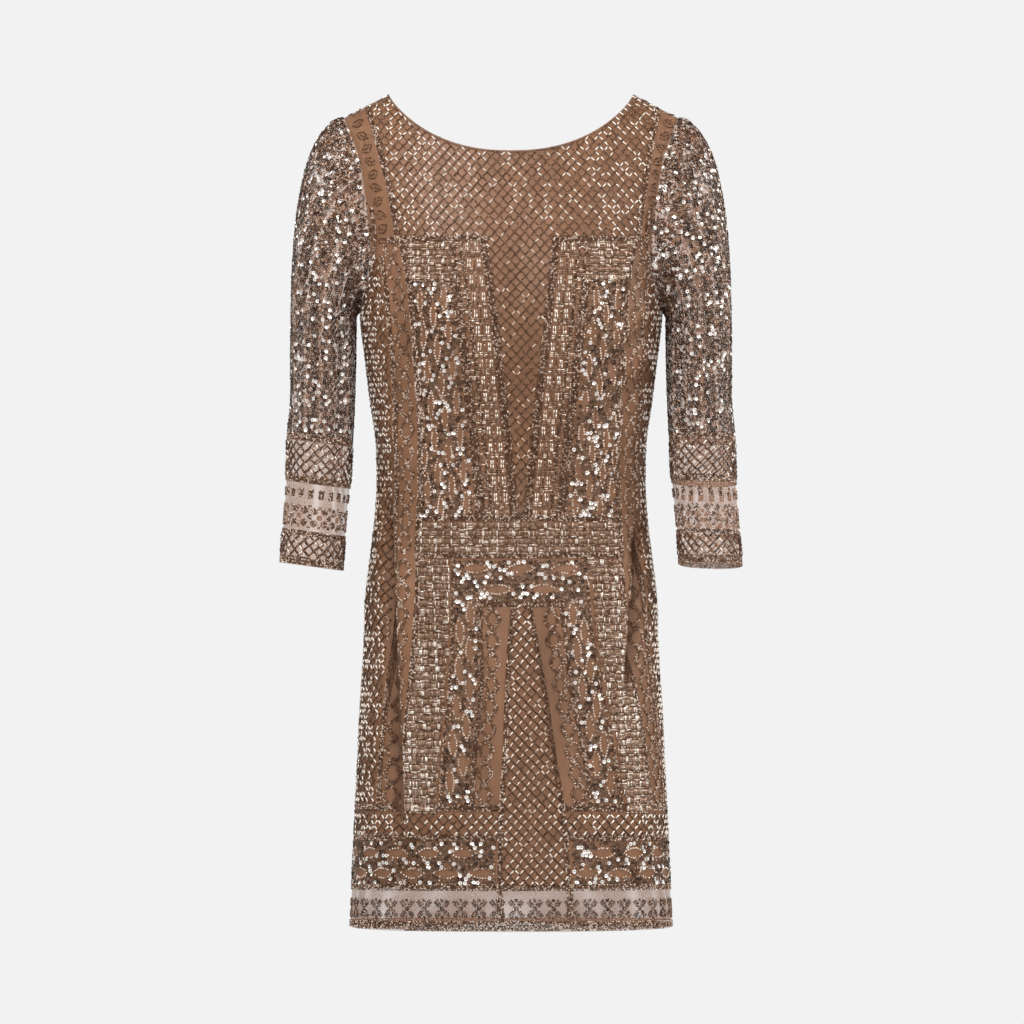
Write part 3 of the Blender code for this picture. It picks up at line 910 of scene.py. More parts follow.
@dataclass
class FrontBeads:
    """Beadwork of the front, by zones from the neckline down to the hem."""

    form: BodyForm
    chart: PanelChart
    yoke_bottom: float = -150.0
    frame_bottom: float = -189.0
    waist_top: float = -443.0
    waist_bottom: float = -486.0
    arch_bottom: float = -531.0
    legs_bottom: float = -745.0
    net_top: float = -776.0
    sequins_bottom: float = -828.0
    sheer_top: float = -836.0
    hem_band: float = -866.5
    half_round: float = 240.0
    stitch: Stitcher = field(default_factory=lambda: Stitcher(11))

    def in_x(self, table: Table, column: str, w: Array) -> Array:
        """Length round the cloth from the centre line to a line that a table gives in x."""
        z = self.chart.height(w)
        return self.chart.arc(self.form.level_across(table.at(column, z), z), z)

    def yoke_side(self, w: Array) -> Array:
        """Length round the cloth to the yoke's side border."""
        return self.in_x(YOKE, "x", w)

    def armhole_side(self, w: Array) -> Array:
        """Length round the cloth to the armhole's seam."""
        return self.in_x(ARMHOLE, "front", w)

    def lattices(self) -> tuple[Beads, Beads]:
        """Diamond lattice of the yoke, the plunge, the side panels, the wedge and the lower band.

        Returns:
            The bugles, and the seed beads where they cross.
        """
        everywhere = (-self.half_round, -self.form.length, self.half_round, 60.0)
        bugles, seeds = (b.kept(self.in_lattice(b)) for b in self.stitch.lattice(everywhere, (10.4, 11.6)))
        # Painted glints: a share of the bugles, by the slant of their side and by zone, gets a near-white
        # tone and a wider body. The other bugles are a little lighter above the waist, and the knot seeds
        # darker below the yoke.
        share = np.where(bugles.turn > 0, self.rising_glint_share(bugles), self.falling_glint_share(bugles))
        bright = self.stitch.rng.random(len(bugles)) < share
        above = bugles.up > self.waist_top
        bugles.tone = np.where(bright, 0.97, bugles.tone + np.where(above, 0.12, 0.0))
        bugles.width = np.where(bright, np.where(bugles.up < self.waist_top, 1.12, 0.95), 0.8)
        seeds.tone = seeds.tone * np.where(seeds.up > self.yoke_bottom, 0.7, 0.45)
        return bugles, seeds

    def falling_glint_share(self, b: Beads) -> Array:
        """Share of bugles on the falling sides painted bright as glints: most of them in the yoke, few lower
        down.

        Args:
            b: the beads.

        Returns:
            A share from 0 to 1 for each bead.
        """
        out = np.abs(b.round)
        yoke = np.clip(0.2 + 0.5 * (out - 20) / 60, 0.2, 0.62)
        low = np.where(out > 120, 0.5, 0.08)
        plunge = (b.up > self.waist_top) & (out < 60)
        return np.where(b.up > self.yoke_bottom, yoke, np.where(plunge, 0.12, low))

    def rising_glint_share(self, b: Beads) -> Array:
        """Share of bugles on the rising sides painted bright as glints: few above, nearly all in the wedge
        and lower band.

        Args:
            b: the beads.

        Returns:
            A share from 0 to 1 for each bead.
        """
        out = np.abs(b.round)
        yoke = np.where(out > 75, 0.25, 0.1)
        low = np.where((out < 70) | (b.round > 0), 0.9, 0.45)
        upper = np.where(out > 120, 0.5, 0.14)
        return np.where(b.up > self.yoke_bottom, yoke, np.where(b.up > self.arch_bottom, upper, low))

    def in_lattice(self, b: Beads) -> Array:
        """Which beads lie in a zone that is filled with lattice.

        Args:
            b: the beads.

        Returns:
            True for each bead in such a zone.
        """
        q, w = np.abs(b.round), b.up
        outer = np.where(w > self.waist_bottom, BODICE.at("outer", w), SKIRT.at("basket", w))
        yoke = (w > self.yoke_bottom) & (q < self.yoke_side(w))
        middle = (w <= self.yoke_bottom) & (w > self.waist_top) & (q < BODICE.at("plunge", w))
        wedge = (w < self.arch_bottom) & (w > self.sequins_bottom + 1) & (q < SKIRT.at("wedge", w))
        sides = (w <= self.yoke_bottom - 20) & (w > self.legs_bottom) & (q > outer + 40)
        band = (w < self.legs_bottom - 7) & (w > self.net_top)
        return yoke | middle | wedge | sides | band

    def bands(self) -> Beads:
        """Borders of seed beads between the zones.

        Returns:
            The beads.
        """
        st = self.stitch
        seam = st.upright_band(lambda w: self.armhole_side(w) - 6.0, -222, self.yoke_bottom + 30, 3)
        seam.round = seam.round - CENTRE.at("offset", seam.up)
        yoke = st.upright_band(self.yoke_side, self.yoke_bottom - 4, 40, 4)
        groups = [yoke, seam, self.level_borders()]
        for table, column, offset, low, high, rows in (
            (BODICE, "plunge", 0, self.waist_top, self.yoke_bottom, 5),
            (BODICE, "plunge", 40, self.waist_top, self.frame_bottom - 8, 3),
            (BODICE, "outer", 0, self.waist_bottom, self.yoke_bottom, 4),
            (BODICE, "outer", 31, self.waist_bottom, self.yoke_bottom - 20, 4),
            (SKIRT, "wedge", 0, self.sheer_top, self.arch_bottom, 3),
            (SKIRT, "leg_inner", -4, self.legs_bottom, self.arch_bottom, 3),
            (SKIRT, "leg_outer", 0, self.legs_bottom, self.waist_bottom, 2),
            (SKIRT, "basket", 0, self.legs_bottom, self.waist_bottom, 3),
            (SKIRT, "basket", 31, self.legs_bottom, self.waist_bottom, 4),
        ):
            groups.append(st.upright_band(table.line(column, offset), low, high, rows))
        return joined(groups)

    def level_borders(self) -> Beads:
        """Level borders, each kept to the part of the cloth that it crosses.

        Returns:
            The beads.
        """
        st = self.stitch
        top = st.level_band(self.yoke_bottom, 140, 4)
        top = top.kept(np.abs(top.round) > BODICE.at("plunge", top.up))
        under = st.level_band(self.frame_bottom, 130, 4)
        q = np.abs(under.round)
        framed = (q > BODICE.at("plunge", under.up) + 34) & (q < BODICE.at("outer", under.up))
        groups = [top, under.kept(framed)]
        for up, half, rows in (
            (self.waist_top + 1.5, 108, 4),
            (self.waist_bottom + 4, 108, 3),
            (self.arch_bottom, 46, 4),
            (self.legs_bottom, self.half_round, 4),
            (self.net_top, self.half_round, 4),
            (self.sequins_bottom, self.half_round, 4),
            (self.hem_band, 246, 7),
        ):
            band = st.level_band(up, half, rows)
            if self.legs_bottom >= up > self.sequins_bottom:
                band = band.kept(np.abs(band.round) > SKIRT.at("wedge", band.up))
            groups.append(band)
        return joined(groups)

    def basket_work(self) -> tuple[Beads, Beads]:
        """Basket weave of the bust frames, the waist band and the two columns of the skirt.

        Returns:
            The bugles, and the seed beads between them.
        """
        bugles, seeds = [], []
        for box, cell, zone in (
            (
                (-130, self.frame_bottom, 130, self.yoke_bottom - 4.6),
                (8.2, 8.4),
                (BODICE, "plunge", 38, "outer"),
            ),
            ((-107, self.waist_bottom + 5, 107, self.waist_top - 4.6), (8.3, 8.4), None),
            ((-142, self.legs_bottom, 142, self.waist_bottom), (8.2, 8.6), (SKIRT, "leg_outer", 5, "basket")),
        ):
            for beads, kinds in zip(self.stitch.basket(box, cell), (bugles, seeds), strict=True):
                kinds.append(beads.kept(self.between(beads, *zone)) if zone else beads)
        inner = BODICE.line("plunge", 8)
        blocks = self.stitch.block_column(inner, self.waist_top, self.frame_bottom + 33.5, 17.5)
        for beads, kinds, gap in zip(blocks, (bugles, seeds), (6, 5), strict=True):
            kinds.append(beads.kept((beads.up > self.waist_top) & (beads.up < self.yoke_bottom - gap)))
        return joined(bugles), joined(seeds)

    def between(self, b: Beads, table: Table, inner: str, gap: float, outer: str) -> Array:
        """Which beads lie between two lines of a table, gap outside the inner one."""
        q = np.abs(b.round)
        return (q > table.at(inner, b.up) + gap) & (q < table.at(outer, b.up) - 1)

    def sequin_ovals(self) -> list[tuple[Array, Array, tuple[float, float], bool]]:
        """Centres, half sizes and direction of the rows of ovals that the sequins leave free.

        Returns:
            One entry a row of ovals, its last item true where they stand upright.
        """
        rows = []
        w = np.arange(-214, self.waist_top + 8, -36.0)
        for lane, shift in ((53, 0.0), (67, -18.0), (81, -4.0), (94, -22.0)):
            for side in (-1, 1):
                rows.append((side * (BODICE.at("plunge", w + shift) + lane), w + shift, (15.0, 3.2), True))
        for up, shift in ((-497.0, 0.0), (-519.0, 23.0)):
            s = np.arange(-47.0 + shift, 60, 47.0)
            rows.append((s, np.full(s.shape, up), (14.5, 5.0), False))
        w = np.arange(-545, self.legs_bottom + 14, -39.0)
        for side in (-1, 1):
            for share, shift in ((0.32, 0.0), (0.72, -19.0)):
                low, high = (SKIRT.at(name, w + shift) for name in ("leg_inner", "leg_outer"))
                rows.append((side * (low + share * (high - low)), w + shift, (15.0, 4.2), True))
        for up, shift in ((-795.0, 0.0), (-816.0, 18.5)):
            s = np.arange(-222.0 + shift, self.half_round, 37.0)
            s = s[np.abs(s) > 48]
            rows.append((s, np.full(s.shape, up), (13.0, 5.2), False))
        kept = [self.in_sequins(s, up, -3.0) for s, up, _, _ in rows]
        return [(s[keep], up[keep], half, way) for keep, (s, up, half, way) in zip(kept, rows, strict=True)]

    def sequin_work(self) -> tuple[Beads, Beads]:
        """Sequins round pointed ovals: the bust fields, the arch with its legs, and the lower band.

        Returns:
            The sequins, and the seed beads of the ovals.
        """
        ovals = self.sequin_ovals()
        outlines = [self.stitch.oval_outlines(*row) for row in ovals]
        sequins = self.stitch.sequin_fill((-self.half_round, -830, self.half_round, -190), 4.7)
        free = self.in_sequins(sequins.round, sequins.up, 1.0)
        for s, up, half, upright in ovals:
            for centre_s, centre_w in zip(s, up, strict=True):
                ds, dw = sequins.round - centre_s, sequins.up - centre_w
                along, aside = (dw, ds) if upright else (ds, dw)
                reach = half[1] * (1 - (along / half[0]) ** 2) + 1.2
                free &= ~((np.abs(along) < half[0]) & (np.abs(aside) < reach))
        return sequins.kept(free), joined(outlines)

    def in_sequins(self, s: Array, w: Array, margin: float) -> Array:
        """Which places lie in a zone that is filled with sequins, margin inside its edges.

        Args:
            s: lengths round.
            w: lengths up.
            margin: how far inside the edges a place has to be.

        Returns:
            True for each place in such a zone.
        """
        q = np.abs(s)
        leg_outer = SKIRT.at("leg_outer", w) - margin
        bust = (w < self.frame_bottom - 6 - margin) & (w > self.waist_top + margin)
        bust &= (q > BODICE.at("plunge", w) + 45 + margin) & (q < BODICE.at("outer", w) - margin)
        arch = (w < self.waist_bottom - 1 - margin) & (w > self.arch_bottom + margin) & (q < leg_outer)
        legs = (w <= self.arch_bottom) & (w > self.legs_bottom + margin)
        legs &= (q > SKIRT.at("leg_inner", w) + margin) & (q < leg_outer)
        band = (w < self.net_top - 7 - margin) & (w > self.sequins_bottom + margin)
        band &= q > SKIRT.at("wedge", w) + 6 + margin
        return bust | arch | legs | band

    def small_motifs(self) -> Beads:
        """Diamond chains on the plain strips, leaves beside the armholes, leaf lattice on the sheer hem.

        Returns:
            The beads.
        """
        st = self.stitch
        groups = [
            st.ring_chain(BODICE.line("outer", 19.0), self.waist_bottom, self.yoke_bottom, 9.6, 23.6),
            st.ring_chain(SKIRT.line("basket", 18.5), self.legs_bottom, self.waist_bottom, 10.2, 23.6),
            st.ring_chain(SKIRT.line("chain"), self.legs_bottom, self.arch_bottom - 6, 9.0, 23.0),
        ]
        w = np.arange(self.yoke_bottom - 6, 40, 14.5)
        lean = np.where(np.arange(len(w)) % 2 == 0, 0.35, 2.5)
        middle = 0.5 * (self.yoke_side(w) + 6 + self.armhole_side(w))
        for side, follow in ((-1, 0.45), (1, 0.0)):
            swing = follow * CENTRE.at("offset", w)
            leaves = st.open_leaves(side * middle - swing, w, side * lean, (6.8, 4.2))
            leaves.tone = 0.58 * leaves.tone
            groups.append(leaves)
        hem = st.leaf_row(-853.0, -244.0, 244.0, 19.5, 22.0)
        hem.tone = 0.7 * hem.tone
        upright = st.upright_band(lambda v: np.full(v.shape, 34.0), -864.0, self.sheer_top + 2, 4)
        return joined([*groups, hem, upright])

    def build(self) -> dict[str, Beads]:
        """All beads of the front, by kind, kept to the cloth and laid on its swung centre line.

        Returns:
            The beads under the name of their kind.
        """
        lattice_bugles, lattice_seeds = self.lattices()
        basket_bugles, basket_seeds = self.basket_work()
        sequins, outlines = self.sequin_work()
        kinds = {
            "bugles": joined([lattice_bugles, basket_bugles]),
            "seeds_border": self.bands(),
            "seeds": joined([lattice_seeds, basket_seeds, outlines, self.small_motifs()]),
            "sequins": sequins,
        }
        for beads in kinds.values():
            beads.round = beads.round + CENTRE.at("offset", beads.up)
        return kinds


@dataclass
class BackBeads:
    """Beadwork of the back: one all-over lattice, with the front's lower bands carried round."""

    half_round: float = 245.0
    clear_of_seam: float = 5.5
    net_top: float = -776.0
    stitch: Stitcher = field(default_factory=lambda: Stitcher(12))

    def build(self) -> dict[str, Beads]:
        """All beads of the back, by kind.

        Returns:
            The beads under the name of their kind.
        """
        st, half = self.stitch, self.half_round
        bugles, seeds = (
            b.kept((b.up > self.net_top) & (np.abs(b.round) > self.clear_of_seam))
            for b in st.lattice((-half, -877.0, half, 20.0), (11.2, 12.0), (0.35, 0.3))
        )
        groups = [seeds, st.upright_band(lambda w: np.full(w.shape, 1.6), -828, -60, 2)]
        for up, rows in ((-745, 4), (self.net_top, 4), (-828, 4), (-866.5, 6)):
            groups.append(st.level_band(up, half, rows))
        for edge in (96.0, 150.0):
            groups.append(st.upright_band(lambda w, e=edge: np.full(w.shape, e), -745, -60, 2))
        sequins = st.sequin_fill((-half, -826, half, -784), 5.2)
        sequins = sequins.kept(np.abs(sequins.round) > self.clear_of_seam)
        return {"bugles": bugles, "seeds": joined(groups), "sequins": sequins}


@dataclass
class SleeveForm:
    """A worn sleeve: from the armhole's seam over the cap and down a tube to the cuff."""

    body: BodyForm
    table_side: str
    yoke_rows: int = 34
    cap_rows: int = 22
    tube_step: float = 4.0
    top: float = -236.0
    tuck: float = 0.7
    points: Array = field(init=False)
    chart: Array = field(init=False)
    lengths: Array = field(init=False)

    def __post_init__(self) -> None:
        """Build the grid, and the chart of it in even steps up from the cuff."""
        self.points = self._grid()
        self._measure()

    def _seam(self) -> tuple[Array, Array]:
        """Points round the armhole from the shoulder down the front and up the back, and ways on past it.

        Returns:
            The points, and the directions.
        """
        down = np.linspace(2, 1, self.yoke_rows + 1)
        seam, normals = [], []
        for panel, up in ((Panel.FRONT, down[:-1]), (Panel.BACK, down[:0:-1])):
            climb = 0.5 - 0.5 * np.cos(np.pi * (up - 1))
            z = -self.body.armhole_bottom + (self.body.armhole_bottom - self.body.shoulder_drop) * climb
            across = self.body.level_across(ARMHOLE.at(panel.value, z), z)
            seam.append(self.body.surface(panel, across, z))
            normals.append(self.body.normals(panel, across, z))
        seam = np.concatenate(seam)
        along = np.roll(seam, -1, axis=0) - np.roll(seam, 1, axis=0)
        return seam, unit(np.cross(np.concatenate(normals), along))

    def _section(self, height: float, angle: Array) -> Array:
        """Points of the level section at a height.

        Args:
            height: the section's height.
            angle: turns round the section, in radians.

        Returns:
            The points.
        """
        h = np.full(angle.shape, float(height))
        centre_x, half_width, centre_y, half_depth = (SLEEVE.at(name, h) for name in SLEEVE.columns)
        cuff = CUFFS[self.table_side]
        share = np.clip((self.top - h) / (self.top - cuff.height), 0, 1) ** 4
        lift = share * (cuff.outer_rise * np.cos(angle) + cuff.front_rise * np.sin(angle))
        x = centre_x + half_width * np.cos(angle)
        y = centre_y - half_depth * np.sin(angle)
        return np.stack([x, y, h + lift], axis=-1)

    def _creases(self, height: Array, angle: Array) -> Array:
        """How far the lengthwise creases lift the cloth.

        Args:
            height: the section's height.
            angle: turns round the section, in radians.

        Returns:
            The lift at each angle.
        """
        lift = np.zeros(height.shape)
        for crease in SLEEVE_CREASES:
            turn = np.angle(np.exp(1j * (angle - crease.angle)))
            middle, half = 0.5 * (crease.top + crease.bottom), 0.5 * (crease.top - crease.bottom)
            ends = np.clip(1 - ((height - middle) / half) ** 2, 0, 1)
            lift = lift + crease.height * np.exp(-((turn / crease.width) ** 2)) * ends
        return lift

    def _grid(self) -> Array:
        """Points row by row from the armhole's seam to the cuff, each row once round.

        Returns:
            The points, as rows, columns and x, y, z.
        """
        seam, onward = self._seam()
        count = len(seam)
        steps = np.linalg.norm(np.roll(seam, -1, axis=0) - seam, axis=-1)
        gone = np.concatenate([[0], np.cumsum(steps)[:-1]])
        half = gone[self.yoke_rows]
        front = np.arange(count) < self.yoke_rows
        angle = np.where(front, np.pi * gone / half, np.pi + np.pi * (gone - half) / (steps.sum() - half))
        ring = self._section(self.top, angle)
        span = np.linalg.norm(ring - seam, axis=-1, keepdims=True)
        cosine = np.cos(angle)
        rise = np.where(cosine > 0, -0.2 * cosine, -0.42 * cosine)
        leave = unit(np.stack([np.ones(count), -0.18 * np.sin(angle), rise], axis=-1))
        arrive = np.array([0.02, 0.0, -1.0])
        turn = np.sqrt(np.clip(1 - np.sum(leave * onward, axis=-1) ** 2, 0, 1))
        seam = seam - leave * (self.tuck * turn)[:, None]
        t = (np.linspace(0, 1, self.cap_rows + 1) ** 1.15)[:, None, None]
        start = (1 + 2 * t) * (1 - t) ** 2 * seam + t * (1 - t) ** 2 * 0.70 * span * leave
        cap = start + t**2 * (3 - 2 * t) * ring + t**2 * (t - 1) * 1.15 * span * arrive
        cuff = CUFFS[self.table_side].height
        heights = np.linspace(self.top, cuff, round((self.top - cuff) / self.tube_step) + 1)[1:]
        points = np.concatenate([cap, np.array([self._section(h, angle) for h in heights])])
        centre = SLEEVE.at("centre_x", np.minimum(points[..., 2], self.top))
        cap_share = np.concatenate([np.linspace(0, 3, self.cap_rows + 1), np.full(len(heights), 3.0)])
        lift = self._creases(points[..., 2], angle[None, :]) * np.clip(cap_share, 0, 1)[:, None]
        from_seam = run_lengths(points)
        lift = lift - 2.6 * np.exp(-(((from_seam - 9.0) / 5.0) ** 2)) * np.clip(cosine + 1.2, 0, 1)
        lift = lift + 1.1 * np.sin(9 * angle) * np.exp(-(((from_seam - 16.0) / 14.0) ** 2)) * (cosine > -0.4)
        away = np.stack([points[..., 0] - centre, points[..., 1], np.zeros(lift.shape)], axis=-1)
        away = away / np.maximum(np.linalg.norm(away, axis=-1, keepdims=True), 1.0)
        return points + away * lift[..., None]

    def _measure(self) -> None:
        """Chart the sleeve: columns at even shares round, rows at even lengths up from the cuff."""
        upward = self.points[::-1]
        gone = run_lengths(upward)
        self.lengths = gone[-1]
        levels = np.arange(0, gone.max(), self.tube_step)
        columns = []
        for k in range(upward.shape[1]):
            column = [np.interp(levels, gone[:, k], upward[:, k, i]) for i in range(3)]
            columns.append(np.stack(column, axis=-1))
        self.chart = np.stack(columns, axis=1)

    def place(self, share: Array, up: Array) -> Array:
        """Points at shares round, from 0 to 1, and lengths up from the cuff.

        Args:
            share: shares round, from 0 to 1.
            up: lengths up from the cuff.

        Returns:
            The points.
        """
        count = self.chart.shape[1]
        column = (share % 1.0) * count
        left = column.astype(int) % count
        u = (column - np.floor(column))[:, None]
        row = np.clip(up / self.tube_step, 0, len(self.chart) - 1.001)
        low = row.astype(int)
        t = (row - low)[:, None]
        right = (left + 1) % count
        near = self.chart[low, left] * (1 - u) + self.chart[low, right] * u
        far = self.chart[low + 1, left] * (1 - u) + self.chart[low + 1, right] * u
        return near * (1 - t) + far * t

    def girth(self, up: Array) -> Array:
        """Girth of the sleeve at lengths up from the cuff."""
        rings = np.linalg.norm(np.roll(self.chart, -1, axis=1) - self.chart, axis=-1).sum(axis=1)
        return np.interp(up, np.arange(len(rings)) * self.tube_step, rings)

    def room(self, share: Array) -> Array:
        """Length from the cuff to the armhole's seam, at shares round.

        Args:
            share: shares round, from 0 to 1.

        Returns:
            The lengths.
        """
        count = len(self.lengths)
        lengths = np.append(self.lengths, self.lengths[0])
        return np.interp((share % 1.0) * count, np.arange(count + 1), lengths)


@dataclass
class SleeveBeads:
    """Beadwork of a sleeve: sequins and bead runs above, bands and leaves below."""

    form: SleeveForm
    seed: int
    girth: float = 262.0
    runs: int = 16
    leaves: int = 12
    bands_top: float = 138.0
    reach: float = 560.0
    head_seeds: int = 1800

    def build(self) -> dict[str, Beads]:
        """All beads of the sleeve, by kind; round is measured at the sleeve's mean girth.

        Returns:
            The beads under the name of their kind.
        """
        st, girth = Stitcher(self.seed), self.girth
        run_gap, leaf_gap = girth / self.runs, girth / self.leaves
        sequins = self.sequin_rings(st, 4.2)
        off_line = np.abs((sequins.round / run_gap) % 1.0 - 0.5) < 0.44
        there = st.rng.random(len(sequins)) < self.cover(sequins.round, sequins.up)
        sequins = sequins.kept(off_line & there)
        s, w = np.meshgrid(np.arange(self.runs) * run_gap, np.arange(self.bands_top, self.reach, 2.3))
        s = s + 1.6 * np.sin(w / 17.0 + s)
        run = st.beads(s, w, 0.0, 1.0, st.mixed(s.size, 0.5, 0.9, 0.45), 0.3)
        seeds = [run.kept(st.rng.random(s.size) < self.cover(s.ravel(), w.ravel()))]
        s = np.arange(0, girth, st.seed_pitch)
        for level, rows in ((137.0, 4), (93.0, 4), (36.0, 3), (8.5, 5)):
            for row in range(rows):
                seeds.append(st.seeds(s + 0.9 * (row % 2), level - row * st.row_gap))
        bugles, knots = (
            b.kept(((b.up > 94) & (b.up < 130)) | ((b.up > 9) & (b.up < 30)))
            for b in st.lattice((0, -5, girth, 140), (girth / 25, 10.8), (0.25, 0.15))
        )
        knots.tone = 0.6 * knots.tone
        seeds += [knots, st.leaf_row(52.0, 0.3 * leaf_gap, girth, leaf_gap, 25.0)]
        # Dark seeds crowded within about 44 millimetres of the armhole's seam: beads, and partly a painted
        # shade along the seam.
        s = st.rng.random(self.head_seeds) * girth
        head = self.form.room(s / girth) - 1.5 - 42 * st.rng.random(self.head_seeds)
        seeds.append(st.beads(s, head, 0.0, 1.1, 0.5 * st.rng.random(self.head_seeds), 0.1, 1.1))
        s = np.concatenate([(np.arange(self.leaves) + share) * leaf_gap for share in (0.3, 0.8)])
        seeds.append(st.leaves(s, 76.0, 1.45, 3, 5))
        return {"bugles": bugles, "seeds": joined(seeds), "sequins": sequins}

    def cover(self, s: Array, w: Array) -> Array:
        """Share of beads that is there: towards the head, two slow waves leave patches of nearly bare net."""
        wave = np.sin(2 * np.pi * s / 58 + 1.6 * np.sin(w / 37)) * np.sin(w / 23 + 0.5 * np.sin(s / 21))
        return 0.97 - 0.75 * np.clip(wave - 0.25, 0, 1) * np.clip((w - 260) / 90, 0, 1)

    def sequin_rings(self, st: Stitcher, pitch: float) -> Beads:
        """Staggered rings of sequins, as many as the true girth has room for, darker towards the bands, some
        painted bright as glints.

        Args:
            st: the stitcher that draws them.
            pitch: distance between sequins.

        Returns:
            The sequins.
        """
        level = np.arange(self.bands_top + 1, self.reach, pitch * 0.87)
        count = np.round(self.form.girth(level) / pitch).astype(int)
        ring = np.repeat(np.arange(len(level)), count)
        place = np.arange(count.sum()) - np.repeat(np.cumsum(count) - count, count)
        s = (place + 0.5 * (ring % 2)) * self.girth / count[ring]
        turn = st.rng.random(len(s)) * 2 * np.pi
        deep = np.interp(level[ring], (230, 380, 500), (0.42, 0.6, 0.95))
        # Painted glints: 15 in 100 sequins get a near-white tone.
        tone = np.where(st.rng.random(len(s)) < 0.15, 1.0, st.rng.random(len(s)) ** 1.35 * deep)
        return st.beads(s, level[ring], turn, 0.97, tone, 0.4, 0.97)


@dataclass
class Placement:
    """Where instances stand in space: places in millimetres, three axes each, scales along x, and tones."""

    points: Array
    along: Array
    outward: Array
    stretch: Array
    width: Array
    tone: Array


def oriented(
    points: Array, round_way: Array, up_way: Array, outward: Array, beads: Beads
) -> Placement:
    """Turn beads on the flat cloth into instances in space.

    Args:
        points: where they are.
        round_way: directions round the cloth.
        up_way: directions up the cloth.
        outward: directions away from the inside of the dress.
        beads: the beads, for their turns, lengths and tones.

    Returns:
        The placement, each bead's length lying in the cloth.
    """
    round_way = unit(round_way)
    up_way = square_to(up_way, round_way)
    turn = beads.turn[:, None]
    along = np.cos(turn) * round_way + np.sin(turn) * up_way
    return Placement(points, along, unit(outward), beads.length, beads.width, beads.tone)


def on_panel(form: BodyForm, chart: PanelChart, beads: Beads, out: float, margin: float) -> Placement:
    """Place beads on the front or the back, out millimetres above the cloth, margin inside its edges.

    Args:
        form: the form that they lie on.
        chart: its lengths round and up.
        beads: the beads.
        out: how far above the cloth they lie.
        margin: how far inside the edges a place has to be.

    Returns:
        Their places and directions.
    """
    z = chart.height(beads.up)
    near = np.abs(beads.round) < chart.reach(z) - 0.8
    beads, z = beads.kept(near), z[near]
    across = chart.across(beads.round, z)
    keep = form.within(chart.panel, across, z, margin)
    beads, z, across = beads.kept(keep), z[keep], across[keep]
    # Painted shade and light: bead tones darken in the hollow creases and lighten a little on the ridges.
    beads.tone = beads.tone * np.clip(1 + form.crease_lift(chart.panel, across, z) / 11, 0.25, 1.1)
    inside = np.clip(across, -0.996, 0.996)
    cloth = form.cloth
    round_way = cloth(chart.panel, inside + 0.003, z, out) - cloth(chart.panel, inside - 0.003, z, out)
    up_way = cloth(chart.panel, inside, z + 0.8, out) - cloth(chart.panel, inside, z - 0.8, out)
    outward = np.cross(round_way, up_way) * (1.0 if chart.panel is Panel.FRONT else -1.0)
    return oriented(cloth(chart.panel, across, z, out), round_way, up_way, outward, beads)


def on_sleeve(form: SleeveForm, girth: float, beads: Beads, out: float) -> Placement:
    """Place beads on a right sleeve, out millimetres above the cloth.

    Args:
        form: the form that they lie on.
        girth: the girth that their lengths round are measured at.
        beads: the beads.
        out: how far above the cloth they lie.

    Returns:
        Their places and directions.
    """
    share = beads.round / girth
    keep = (beads.up > 0.6) & (beads.up < form.room(share) - 0.8) & (beads.round >= 0) & (beads.round < girth)
    beads, share = beads.kept(keep), share[keep]
    round_way = form.place(share + 0.004, beads.up) - form.place(share - 0.004, beads.up)
    up_way = form.place(share, beads.up + 1.0) - form.place(share, beads.up - 1.0)
    outward = unit(np.cross(up_way, round_way))
    return oriented(form.place(share, beads.up) + outward * out, round_way, up_way, outward, beads)


@dataclass(frozen=True)
class Shape:
    """A small shape that is repeated: its points, with the length along x, and its faces."""

    points: Array
    faces: Array

    @classmethod
    def seed(cls, half: float = 0.86) -> "Shape":
        """A seed bead as a four-sided point on a square base, which faces the cloth.

        Args:
            half: half its width.

        Returns:
            The shape.
        """
        points = np.array([(-1, -1, -0.3), (1, -1, -0.3), (1, 1, -0.3), (-1, 1, -0.3), (0, 0, 1.1)]) * half
        faces = [(0, 1, 4), (1, 2, 4), (2, 3, 4), (3, 0, 4), (0, 3, 2), (0, 2, 1)]
        return cls(points, np.array(faces))

    @classmethod
    def bugle(cls, radius: float = 0.86, sides: int = 4) -> "Shape":
        """A bugle bead of length one: a straight tube with flat ends.

        Args:
            radius: its radius.
            sides: number of its flat sides.

        Returns:
            The shape.
        """
        angle = 2 * np.pi * (np.arange(sides) + 0.2) / sides
        ring = np.stack([np.zeros(sides), np.cos(angle) * radius, np.sin(angle) * radius], axis=-1)
        points = np.concatenate([ring - (0.5, 0, 0), ring + (0.5, 0, 0)])
        faces = []
        for i in range(sides):
            j = (i + 1) % sides
            faces += [(i, i + sides, j + sides), (i, j + sides, j)]
        for i in range(1, sides - 1):
            faces += [(0, i, i + 1), (sides, sides + i + 1, sides + i)]
        return cls(points, np.array(faces)[:, ::-1])

    @classmethod
    def sequin(cls, radius: float = 2.2, hole: float = 0.72, cup: float = 0.4, sides: int = 7) -> "Shape":
        """A cupped round sequin with a hole in its middle.

        Args:
            radius: its radius.
            hole: the hole's radius.
            cup: how far its rim stands above the hole.
            sides: number of its corners.

        Returns:
            The shape.
        """
        angle = 2 * np.pi * np.arange(sides) / sides
        rim = np.stack([np.cos(angle) * radius, np.sin(angle) * radius, np.full(sides, cup)], axis=-1)
        eye = np.stack([np.cos(angle) * hole, np.sin(angle) * hole, np.zeros(sides)], axis=-1)
        i = np.arange(sides)
        j = (i + 1) % sides
        faces = np.concatenate([np.stack([i, j, i + sides], -1), np.stack([j, j + sides, i + sides], -1)])
        return cls(np.concatenate([rim, eye]), faces)


